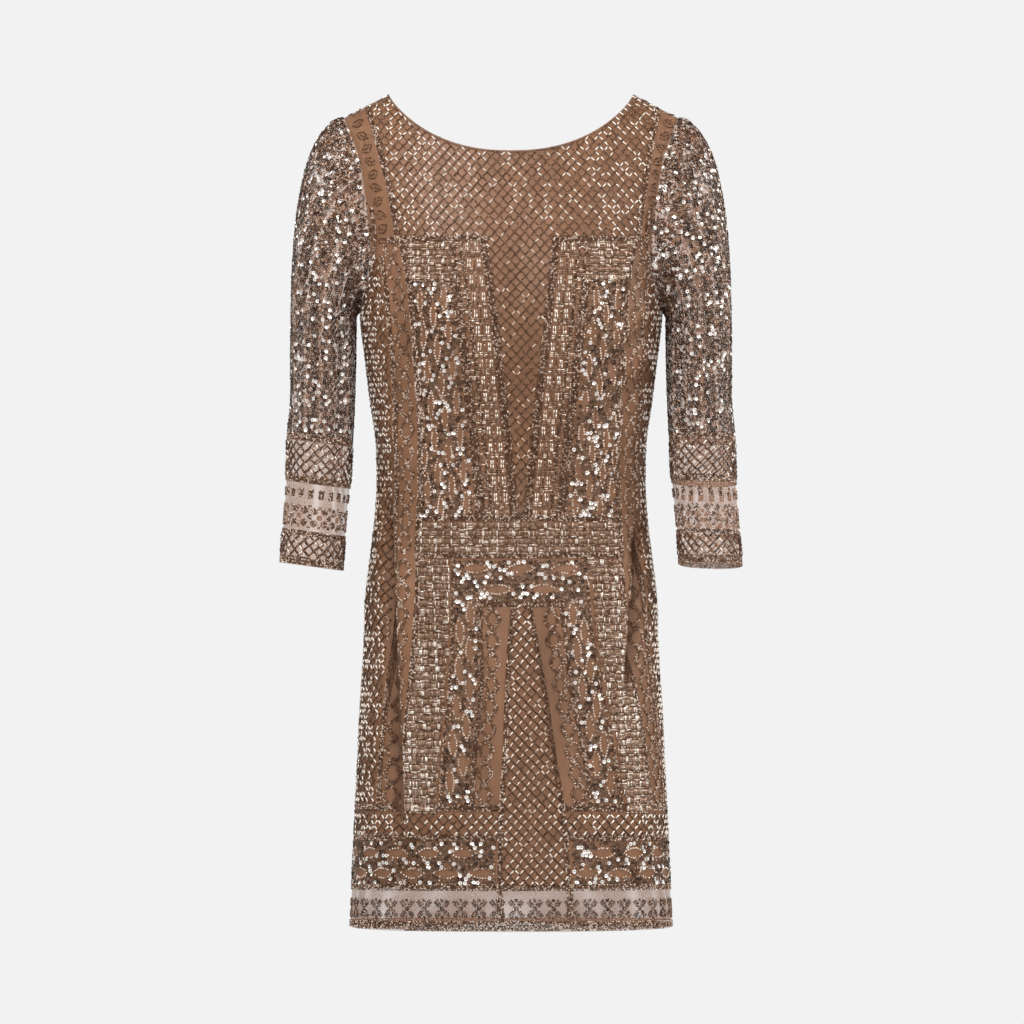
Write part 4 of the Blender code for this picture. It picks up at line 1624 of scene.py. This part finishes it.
@dataclass
class Scatter:
    """Builds one joined mesh of many small shapes."""

    seed: int
    tilt: float
    rng: np.random.Generator = field(init=False)

    def __post_init__(self) -> None:
        """Start the chance numbers from the same place at each run."""
        self.rng = np.random.default_rng(self.seed)

    def build(self, name: str, shape: Shape, places: Placement, mirror: bool = False) -> Object:
        """Joined mesh of a shape at every place, each tilted a little.

        Args:
            name: the object's name.
            shape: the repeated shape.
            places: where it goes.
            mirror: whether it is mirrored to the other side in x.

        Returns:
            The object, with each bead's tone as the point attribute "tone".
        """
        count = len(places.points)
        side = np.cross(places.outward, places.along)
        lean = self.rng.normal(0, self.tilt, (count, 2))
        outward = unit(places.outward + places.along * lean[:, :1] + side * lean[:, 1:])
        along = square_to(places.along, outward)
        side = np.cross(outward, along)
        x, y, z = (shape.points[None, :, i : i + 1] for i in range(3))
        long_way = along * places.stretch[:, None]
        flat = (y * side[:, None] + z * outward[:, None]) * places.width[:, None, None]
        points = places.points[:, None] + x * long_way[:, None] + flat
        faces = shape.faces[None] + (np.arange(count) * len(shape.points))[:, None, None]
        if mirror:
            points = points * (-1, 1, 1)
            faces = faces[:, :, ::-1]
        made = mesh_object(name, points.reshape(-1, 3), faces.reshape(-1, 3))
        float_attribute(made, "tone", np.repeat(places.tone, len(shape.points)))
        return made


def mesh_object(name: str, points: Array, faces: Array) -> Object:
    """Object from points in millimetres and faces that all have the same number of corners.

    Args:
        name: its name.
        points: the points, one a row.
        faces: the points' numbers, one face a row.

    Returns:
        The object, linked to the scene.
    """
    mesh = bpy.data.meshes.new(name)
    mesh.vertices.add(len(points))
    mesh.vertices.foreach_set("co", (points * MM).astype(np.float32).ravel())
    mesh.loops.add(faces.size)
    mesh.polygons.add(len(faces))
    mesh.polygons.foreach_set("loop_start", np.arange(0, faces.size, faces.shape[1], dtype=np.int32))
    mesh.polygons.foreach_set("vertices", faces.astype(np.int32).ravel())
    mesh.update(calc_edges=True)
    mesh.validate()
    made = bpy.data.objects.new(name, mesh)
    bpy.context.scene.collection.objects.link(made)
    return made


def grid_faces(rows: int, columns: int, closed: bool, flip: bool) -> Array:
    """Four-cornered faces of a grid of points, closed round or not, with their sides turned if flip.

    Args:
        rows: number of rows.
        columns: number of columns.
        closed: whether the last column joins the first.
        flip: whether the sides are turned.

    Returns:
        The points' numbers, one face a row.
    """
    r, c = np.meshgrid(np.arange(rows - 1), np.arange(columns if closed else columns - 1), indexing="ij")
    right = (c + 1) % columns
    corners = [r * columns + c, r * columns + right, (r + 1) * columns + right, (r + 1) * columns + c]
    faces = np.stack([corner.ravel() for corner in corners], axis=-1)
    return faces[:, ::-1] if flip else faces


def float_attribute(piece: Object, name: str, values: Array) -> None:
    """Write one number for each point of a piece, for its material to read."""
    made = piece.data.attributes.new(name, "FLOAT", "POINT")
    made.data.foreach_set("value", values.astype(np.float32).ravel())


def cloth_object(
    name: str, points: Array, flat: Array, closed: bool, flip: bool, thickness: float = 0.0
) -> Object:
    """Smooth sheet of cloth from a grid of points, with its flat lie in metres as UV.

    Args:
        name: the object's name.
        points: the grid, in millimetres.
        flat: where each point lies on the flat cloth, in millimetres.
        closed: whether the grid's last column meets its first.
        flip: whether the faces are turned over, so that they face outward.
        thickness: millimetres of wall inward, or nothing for a single layer.

    Returns:
        The object.
    """
    rows, columns = points.shape[:2]
    faces = grid_faces(rows, columns, closed, flip)
    made = mesh_object(name, points.reshape(-1, 3), faces)
    corner_flat = flat.reshape(-1, 2)[faces.ravel()] * MM
    layer = made.data.uv_layers.new(name="flat_lie")
    layer.data.foreach_set("uv", corner_flat.astype(np.float32).ravel())
    made.data.shade_smooth()
    if thickness:
        wall = made.modifiers.new("wall", "SOLIDIFY")
        wall.thickness = thickness * MM
        wall.offset = -1.0
    return made


def linear(code: str) -> tuple[float, float, float, float]:
    """Linear colour of an sRGB hex code."""
    parts = [int(code[i : i + 2], 16) / 255 for i in (1, 3, 5)]
    return (*(p / 12.92 if p <= 0.04045 else ((p + 0.055) / 1.055) ** 2.4 for p in parts), 1.0)


def node(tree: NodeTree, kind: str, inputs: dict | None = None, **settings: object) -> Node:
    """Add a node to a tree.

    Args:
        tree: the tree.
        kind: the node's type.
        inputs: what goes into each socket, by name or number: a value, or another node's output.
        settings: the node's own properties.

    Returns:
        The node.
    """
    made = tree.nodes.new(kind)
    for name, value in settings.items():
        setattr(made, name, value)
    for key, value in (inputs or {}).items():
        if isinstance(value, NodeSocket):
            tree.links.new(value, made.inputs[key])
        else:
            made.inputs[key].default_value = value
    return made


def maths(tree: NodeTree, operation: str, first: object, second: object = 0.0) -> NodeSocket:
    """Result of a sum, product or other operation on two inputs."""
    return node(tree, "ShaderNodeMath", {0: first, 1: second}, operation=operation).outputs[0]


def colour_ramp(
    tree: NodeTree, factor: NodeSocket, stops: tuple[tuple[float, str], ...]
) -> NodeSocket:
    """Colour that runs through sRGB stops as the factor goes from 0 to 1.

    Args:
        tree: the node tree.
        factor: the socket that gives the factor.
        stops: places from 0 to 1, each with its colour.

    Returns:
        The colour's socket.
    """
    ramp = node(tree, "ShaderNodeValToRGB", {"Fac": factor})
    elements = ramp.color_ramp.elements
    while len(elements) < len(stops):
        elements.new(0.5)
    for element, (place, code) in zip(elements, stops, strict=True):
        element.position = place
        element.color = linear(code)
    return ramp.outputs["Color"]


def surfaced(material: Material, inputs: dict) -> Material:
    """The material with one Principled surface, its inputs given by name.

    Args:
        material: the material.
        inputs: values or sockets by the input's name.

    Returns:
        The same material.
    """
    surface = node(material.node_tree, "ShaderNodeBsdfPrincipled", inputs)
    node(material.node_tree, "ShaderNodeOutputMaterial", {"Surface": surface.outputs[0]})
    return material


def new_material(name: str) -> tuple[Material, NodeTree]:
    """Material with an empty tree.

    Args:
        name: its name.

    Returns:
        The material and its tree.
    """
    material = bpy.data.materials.new(name)
    material.use_nodes = True
    material.node_tree.nodes.clear()
    return material, material.node_tree


@dataclass(frozen=True)
class NetFinish:
    """Sheer nylon net: thin threads that cross at a slant, and clear between them."""

    name: str = "nylon_net"
    thread: str = "#94684A"
    thread_share: float = 0.29
    pitch: float = 1.3
    roughness: float = 0.55

    def build(self) -> Material:
        """The thread pattern is drawn on the flat lie of the cloth; alpha is nought between the threads.

        Returns:
            The material.
        """
        material, tree = new_material(self.name)
        uv = node(tree, "ShaderNodeUVMap", uv_map="flat_lie")
        parts = node(tree, "ShaderNodeSeparateXYZ", {0: uv.outputs[0]})
        threads = []
        for operation in ("ADD", "SUBTRACT"):
            slant = maths(tree, operation, parts.outputs[0], parts.outputs[1])
            turns = maths(tree, "MULTIPLY", slant, 1 / (self.pitch * MM))
            place = maths(tree, "ABSOLUTE", maths(tree, "SUBTRACT", maths(tree, "FRACT", turns), 0.5))
            threads.append(maths(tree, "GREATER_THAN", place, 0.5 - 0.5 * self.thread_share))
        cover = maths(tree, "MAXIMUM", *threads)
        inputs = {"Base Color": linear(self.thread), "Roughness": self.roughness, "Alpha": cover, "IOR": 1.5}
        return surfaced(material, inputs)


@dataclass(frozen=True)
class SatinFinish:
    """Tan polyester satin: a soft lustre that wanders with the weave and the dye, with shade painted into its
    folds.
    """

    name: str = "satin_lining"
    dark: str = "#79563B"
    light: str = "#A87C59"
    roughness: float = 0.42
    hollow: float = -8.0
    ridge: float = 3.0
    hollow_painted_shade: float = 0.31
    ridge_painted_light: float = 1.16

    def build(self) -> Material:
        """Long noise gives dye streaks, fine noise lifts the weave; hollow folds get painted shade, ridges
        painted light.

        Returns:
            The material.
        """
        material, tree = new_material(self.name)
        place = node(tree, "ShaderNodeTexCoord").outputs["Object"]
        streaks = node(tree, "ShaderNodeMapping", {"Vector": place, "Scale": (60.0, 60.0, 9.0)})
        dye = node(tree, "ShaderNodeTexNoise", {"Vector": streaks.outputs[0], "Scale": 1.0, "Detail": 3.0})
        weave = node(tree, "ShaderNodeTexNoise", {"Vector": place, "Scale": 900.0, "Detail": 2.0})
        colour = colour_ramp(tree, dye.outputs["Fac"], ((0.3, self.dark), (0.7, self.light)))
        # Painted shade and light: the crease lift in the attribute fold darkens hollows to 0.31 of the colour
        # and brightens ridges to 1.16.
        fold = node(tree, "ShaderNodeAttribute", attribute_name="fold").outputs["Fac"]
        reach = {"From Min": self.hollow, "From Max": self.ridge}
        shade = {"To Min": self.hollow_painted_shade, "To Max": self.ridge_painted_light}
        depth = node(tree, "ShaderNodeMapRange", {"Value": fold, **reach, **shade}).outputs[0]
        painted_shade_colour = node(tree, "ShaderNodeVectorMath", {0: colour, "Scale": depth}, operation="SCALE")
        relief = {"Height": weave.outputs["Fac"], "Strength": 0.25, "Distance": 0.0003}
        lift = node(tree, "ShaderNodeBump", relief)
        look = {"Base Color": painted_shade_colour.outputs[0], "Roughness": self.roughness, "Normal": lift.outputs[0]}
        return surfaced(material, {**look, "Sheen Weight": 0.25, "Sheen Roughness": 0.4, "IOR": 1.5})


@dataclass(frozen=True)
class BeadFinish:
    """Glass, foil or plated plastic of a kind of bead: its colours from dark to bright by tone."""

    name: str
    stops: tuple[tuple[float, str], ...]
    metallic: float
    roughness: float

    def build(self) -> Material:
        """The tone of each bead picks its colour; the near-white tones of bugles and sequins are painted
        glints among bronze ones.

        Returns:
            The material.
        """
        material, tree = new_material(self.name)
        tone = node(tree, "ShaderNodeAttribute", attribute_name="tone")
        colour = colour_ramp(tree, tone.outputs["Fac"], self.stops)
        inputs = {"Metallic": self.metallic, "Roughness": self.roughness, "IOR": 1.52}
        return surfaced(material, {"Base Color": colour, **inputs})


class BeadKind(NamedTuple):
    """A kind of bead: its shape, its height above the cloth, how far it tilts, and its finish."""

    shape: Shape
    height: float
    tilt: float
    finish: BeadFinish


SEED_STOPS = ((0.0, "#3C2214"), (0.35, "#75533E"), (0.7, "#B89478"), (1.0, "#FFEBDA"))
# The top stops of the bugle and sequin ramps are near white: painted glints for the brightest tones.
BUGLE_STOPS = ((0.0, "#442A18"), (0.4, "#8E6A52"), (0.8, "#E6CAB2"), (1.0, "#FFF4E8"))
SEQUIN_STOPS = ((0.0, "#28150B"), (0.6, "#7D624F"), (1.0, "#FFF9F2"))
SEED_FINISH = BeadFinish("bronze_seed_beads", SEED_STOPS, 0.5, 0.3)
BUGLE_FINISH = BeadFinish("champagne_bugle_beads", BUGLE_STOPS, 0.45, 0.22)
SEQUIN_FINISH = BeadFinish("taupe_sequins", SEQUIN_STOPS, 0.5, 0.22)
KINDS = {
    "seeds": BeadKind(Shape.seed(), 0.6, 0.35, SEED_FINISH),
    "bugles": BeadKind(Shape.bugle(), 0.95, 0.16, BUGLE_FINISH),
    "sequins": BeadKind(Shape.sequin(), 0.6, 0.2, SEQUIN_FINISH),
}


class CutSheet(NamedTuple):
    """The flat cut of what shows of a sheet of cloth, in metres and square metres."""

    width: float
    length: float
    area: float


@dataclass
class Dress:
    """The whole dress: shells of cloth, and the beadwork on them."""

    form: BodyForm
    net_columns: int = 96
    body_rows: int = 112
    yoke_rows: int = 44
    lining_gap: float = 1.3
    lining_wall: float = 0.5
    bead_margin: float = 0.9
    neck_length: float = 660.0
    triangles: int = 0
    finishes: dict[str, Material] = field(default_factory=dict)

    def __post_init__(self) -> None:
        """Make the finishes and the charts."""
        self.finishes = {
            "net": NetFinish().build(),
            "sleeve_net": NetFinish("nylon_sleeve_net", "#AC7C5C", 0.235).build(),
            "satin": SatinFinish().build(),
            # The binding uses the satin's painted fold shade; it has no fold attribute, so that shade is even
            # all over it.
            "binding": SatinFinish("binding_tape", "#6B4A34", "#8A6248", 0.6).build(),
            **{name: kind.finish.build() for name, kind in KINDS.items()},
        }
        self.charts = {panel: PanelChart(self.form, panel) for panel in Panel}

    def finish_piece(
        self, piece: Object, finish: str, stands_for: str = ""
    ) -> None:
        """Give a piece its finish and body, hide the node that it stands for, and log its triangles and area.

        Args:
            piece: the piece.
            finish: the name of its finish.
            stands_for: the node that it replaces, if any.
        """
        piece.data.materials.append(self.finishes[finish])
        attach(piece, "root")
        if stands_for:
            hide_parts(stands_for)
        triangles = sum(len(p.vertices) - 2 for p in piece.data.polygons)
        area = sum(p.area for p in piece.data.polygons)
        self.triangles += triangles
        LOG.info("%s: %d triangles before modifiers, %.4f square metres", piece.name, triangles, area)

    def panel_cloth(
        self,
        name: str,
        panel: Panel,
        columns: Array,
        inset: float = 0.0,
        start: float = 0.0,
        wall: float = 0.0,
    ) -> Object:
        """A panel's cloth as a shell on the form.

        Args:
            name: the object's name.
            panel: front or back.
            columns: the shares across of its columns.
            inset: how far inside the form it lies.
            start: how far up from the hem it starts, as a share of the way to the armholes.
            wall: its thickness, or nothing for a single layer.

        Returns:
            The object, with the creases' lift as the point attribute "fold".
        """
        across, z = self.form.grid(panel, columns, self.body_rows, self.yoke_rows, start)
        points = self.form.cloth(panel, across, z, -inset)
        chart = self.charts[panel]
        flat = np.stack([chart.arc(across, z), chart.up(z)], axis=-1)
        made = cloth_object(name, points, flat, False, panel is Panel.BACK, wall)
        float_attribute(made, "fold", self.form.crease_lift(panel, across, z))
        return made

    def build_cloth(self) -> None:
        """The net and the lining of front and backs."""
        form, whole = self.form, np.linspace(-1, 1, self.net_columns + 1)
        lining_start = (form.length - form.lining_length) / (form.length - form.armhole_bottom)
        lining = (self.lining_gap, lining_start, self.lining_wall)
        for node_name, panel, columns, cut in (
            ("front", Panel.FRONT, whole, "front"),
            ("back_left", Panel.BACK, whole[whole <= 0], "back_half"),
            ("back_right", Panel.BACK, whole[whole >= 0], "back_half"),
        ):
            net = self.panel_cloth(f"net_{node_name}", panel, columns)
            self.finish_piece(net, "net", node_name)
            satin = self.panel_cloth(f"satin_{node_name}", panel, columns[::2], *lining)
            self.finish_piece(satin, "satin", f"lining_{node_name}")

    def build_sleeves(self) -> None:
        """The two sleeves of net with their beadwork: the left one is mirrored."""
        for side, mirror, bead_seed, tilt_seed in (("left", True, 21, 31), ("right", False, 22, 32)):
            sleeve = SleeveForm(self.form, side)
            beads = SleeveBeads(sleeve, bead_seed)
            grid = sleeve.points * ((-1, 1, 1) if mirror else (1, 1, 1))
            rows, columns = grid.shape[:2]
            around = np.arange(columns) * beads.girth / columns
            flat = np.stack(np.meshgrid(around, np.arange(rows) * -sleeve.tube_step), axis=-1)
            net = cloth_object(f"net_sleeve_{side}", grid, flat, True, not mirror)
            self.finish_piece(net, "sleeve_net", f"sleeve_{side}")
            for name, laid in beads.build().items():
                places = on_sleeve(sleeve, beads.girth, laid, KINDS[name].height)
                scatter = Scatter(tilt_seed, KINDS[name].tilt)
                piece = scatter.build(f"{name}_sleeve_{side}", KINDS[name].shape, places, mirror)
                self.finish_piece(piece, name)

    def build_beadwork(self) -> None:
        """The beadwork of the front and of the back."""
        front = FrontBeads(self.form, self.charts[Panel.FRONT]).build()
        for panel, layout, tilt_seed in ((Panel.FRONT, front, 41), (Panel.BACK, BackBeads().build(), 42)):
            for name, laid in layout.items():
                kind = name.split("_")[0]
                places = on_panel(self.form, self.charts[panel], laid, KINDS[kind].height, self.bead_margin)
                scatter = Scatter(tilt_seed, KINDS[kind].tilt)
                piece = scatter.build(f"{name}_{panel.value}", KINDS[kind].shape, places)
                self.finish_piece(piece, kind)

    def build_neck_edge(self, columns: int = 120, corners: int = 8) -> None:
        """The bound neckline: a narrow rounded edge that stands on the net all round the neck.

        Args:
            columns: steps along each half of the neckline.
            corners: corners of the edge's section.
        """
        turn = np.linspace(-1, 1, columns + 1)
        rings = []
        for panel, way in ((Panel.FRONT, 1), (Panel.BACK, -1)):
            x = self.form.neck_half_width * np.sin(0.5 * np.pi * turn) * way
            z = self.form.neckline_height(panel, x)
            rings.append(self.form.cloth(panel, self.form.level_across(x, z), z)[:-1])
        loop = np.concatenate(rings)
        along = unit(np.roll(loop, -1, axis=0) - np.roll(loop, 1, axis=0))
        out = square_to(unit(loop * (1, 1, 0)), along)
        upward = np.cross(out, along)
        upward = upward * np.sign(upward[:, 2:])
        angle = 2 * np.pi * np.arange(corners) / corners
        step_out = (1.15 * np.cos(angle) - 0.1)[:, None, None]
        step_up = (1.3 * np.sin(angle) - 0.6)[:, None, None]
        points = loop + step_out * out + step_up * upward
        points = np.concatenate([points, points[:1]])
        lengths = np.linspace(0, self.neck_length, points.shape[1])
        flat = np.stack(np.meshgrid(lengths, np.linspace(0, 8, corners + 1)), axis=-1)
        edge = cloth_object("neck_edge", points, flat, True, False)
        self.finish_piece(edge, "binding", "neck_binding")


class SoftLight(NamedTuple):
    """A square soft light: its place in metres, its size and its power."""

    place: tuple[float, float, float]
    size: float
    power: float


# A soft key from the upper left, a fill from the right, small lights for glints, and two for the edges.
LIGHTS = {
    "key": SoftLight((-0.6, -1.3, 0.74), 0.8, 21.5),
    "fill": SoftLight((1.9, -2.2, 0.7), 1.3, 27),
    "glint_left": SoftLight((-0.9, -5.2, 0.9), 0.3, 20),
    "glint_right": SoftLight((1.1, -5.0, 0.4), 0.3, 14),
    "rim_left": SoftLight((-2.3, 0.6, 0.7), 0.9, 15),
    "rim_right": SoftLight((2.3, 0.3, 0.5), 0.9, 26),
}


@dataclass
class Studio:
    """Pale floor, plain soft light and the camera at the photograph's angle."""

    background: str = "#F2F2F2"
    room_light: float = 0.44
    floor_height: float = -1.43
    floor_half: float = 3.4
    floor_forward: float = 0.5
    camera_distance: float = 24.0
    camera_x: float = 0.001
    view_width: float = 1.0752
    view_height: float = -0.438
    sensor: float = 36.0

    def place(self, name: str, data: ID, where: tuple, turn: tuple) -> Object:
        """Put a light or the camera in the scene.

        Args:
            name: its name.
            data: the light or the camera.
            where: its place in metres.
            turn: its turn in radians.

        Returns:
            The object.
        """
        made = bpy.data.objects.new(name, data)
        made.location = where
        made.rotation_euler = turn
        bpy.context.scene.collection.objects.link(made)
        return made

    def build_world(self) -> None:
        """Even pale light from all round, and a brighter backdrop behind the dress."""
        world = bpy.data.worlds.new("studio")
        world.use_nodes = True
        tree = world.node_tree
        tree.nodes.clear()
        way = node(tree, "ShaderNodeSeparateXYZ", {0: node(tree, "ShaderNodeTexCoord").outputs["Generated"]})
        behind = {"Value": way.outputs[1], "From Min": 0.9, "From Max": 0.985}
        backdrop = node(tree, "ShaderNodeMapRange", behind)
        mix = {0: backdrop.outputs[0], 1: 1.0 - self.room_light, 2: self.room_light}
        strength = node(tree, "ShaderNodeMath", mix, operation="MULTIPLY_ADD").outputs[0]
        shade = node(tree, "ShaderNodeBackground", {"Color": linear(self.background), "Strength": strength})
        node(tree, "ShaderNodeOutputWorld", {"Surface": shade.outputs[0]})
        bpy.context.scene.world = world

    def build_floor(self) -> None:
        """Plain pale floor, below the view."""
        corners = np.array([(-1, -1, 0), (1, -1, 0), (1, 1, 0), (-1, 1, 0)]) * self.floor_half / MM
        middle = (0, -self.floor_forward / MM, self.floor_height / MM)
        floor = mesh_object("floor", corners + middle, np.array([(0, 1, 2, 3)]))
        material, tree = new_material("pale_floor")
        place = node(tree, "ShaderNodeTexCoord").outputs["Object"]
        cloud = node(tree, "ShaderNodeTexNoise", {"Vector": place, "Scale": 3.0})
        colour = colour_ramp(tree, cloud.outputs["Fac"], ((0.0, "#E6E6E5"), (1.0, "#ECECEB")))
        floor.data.materials.append(surfaced(material, {"Base Color": colour, "Roughness": 0.7}))

    def build_lights(self) -> None:
        """The lights, each turned to the dress's middle."""
        for name, (place, size, power) in LIGHTS.items():
            light = bpy.data.lights.new(name, "AREA")
            light.size = size
            light.energy = power
            x, y, z = np.array(place) - (0, 0, self.view_height)
            self.place(name, light, place, (UPRIGHT - math.atan2(z, math.hypot(x, y)), 0, math.atan2(x, -y)))

    def build_camera(self) -> None:
        """Long lens, level with the dress's middle."""
        camera = bpy.data.cameras.new("camera")
        camera.sensor_width = self.sensor
        camera.lens = self.sensor * self.camera_distance / self.view_width
        camera.clip_end = 60.0
        where = (self.camera_x, -self.camera_distance, self.view_height)
        bpy.context.scene.camera = self.place("camera", camera, where, (UPRIGHT, 0, 0))
        bpy.context.scene.view_settings.view_transform = "Standard"


def main() -> None:
    """Build the dress and the studio."""
    logging.basicConfig(level=logging.INFO, format="%(name)s: %(message)s")
    dress = Dress(BodyForm())
    dress.build_cloth()
    dress.build_sleeves()
    dress.build_neck_edge()
    dress.build_beadwork()
    LOG.info("all pieces: %d triangles before modifiers", dress.triangles)
    studio = Studio()
    studio.build_world()
    studio.build_floor()
    studio.build_lights()
    studio.build_camera()


if __name__ == "__main__":
    main()
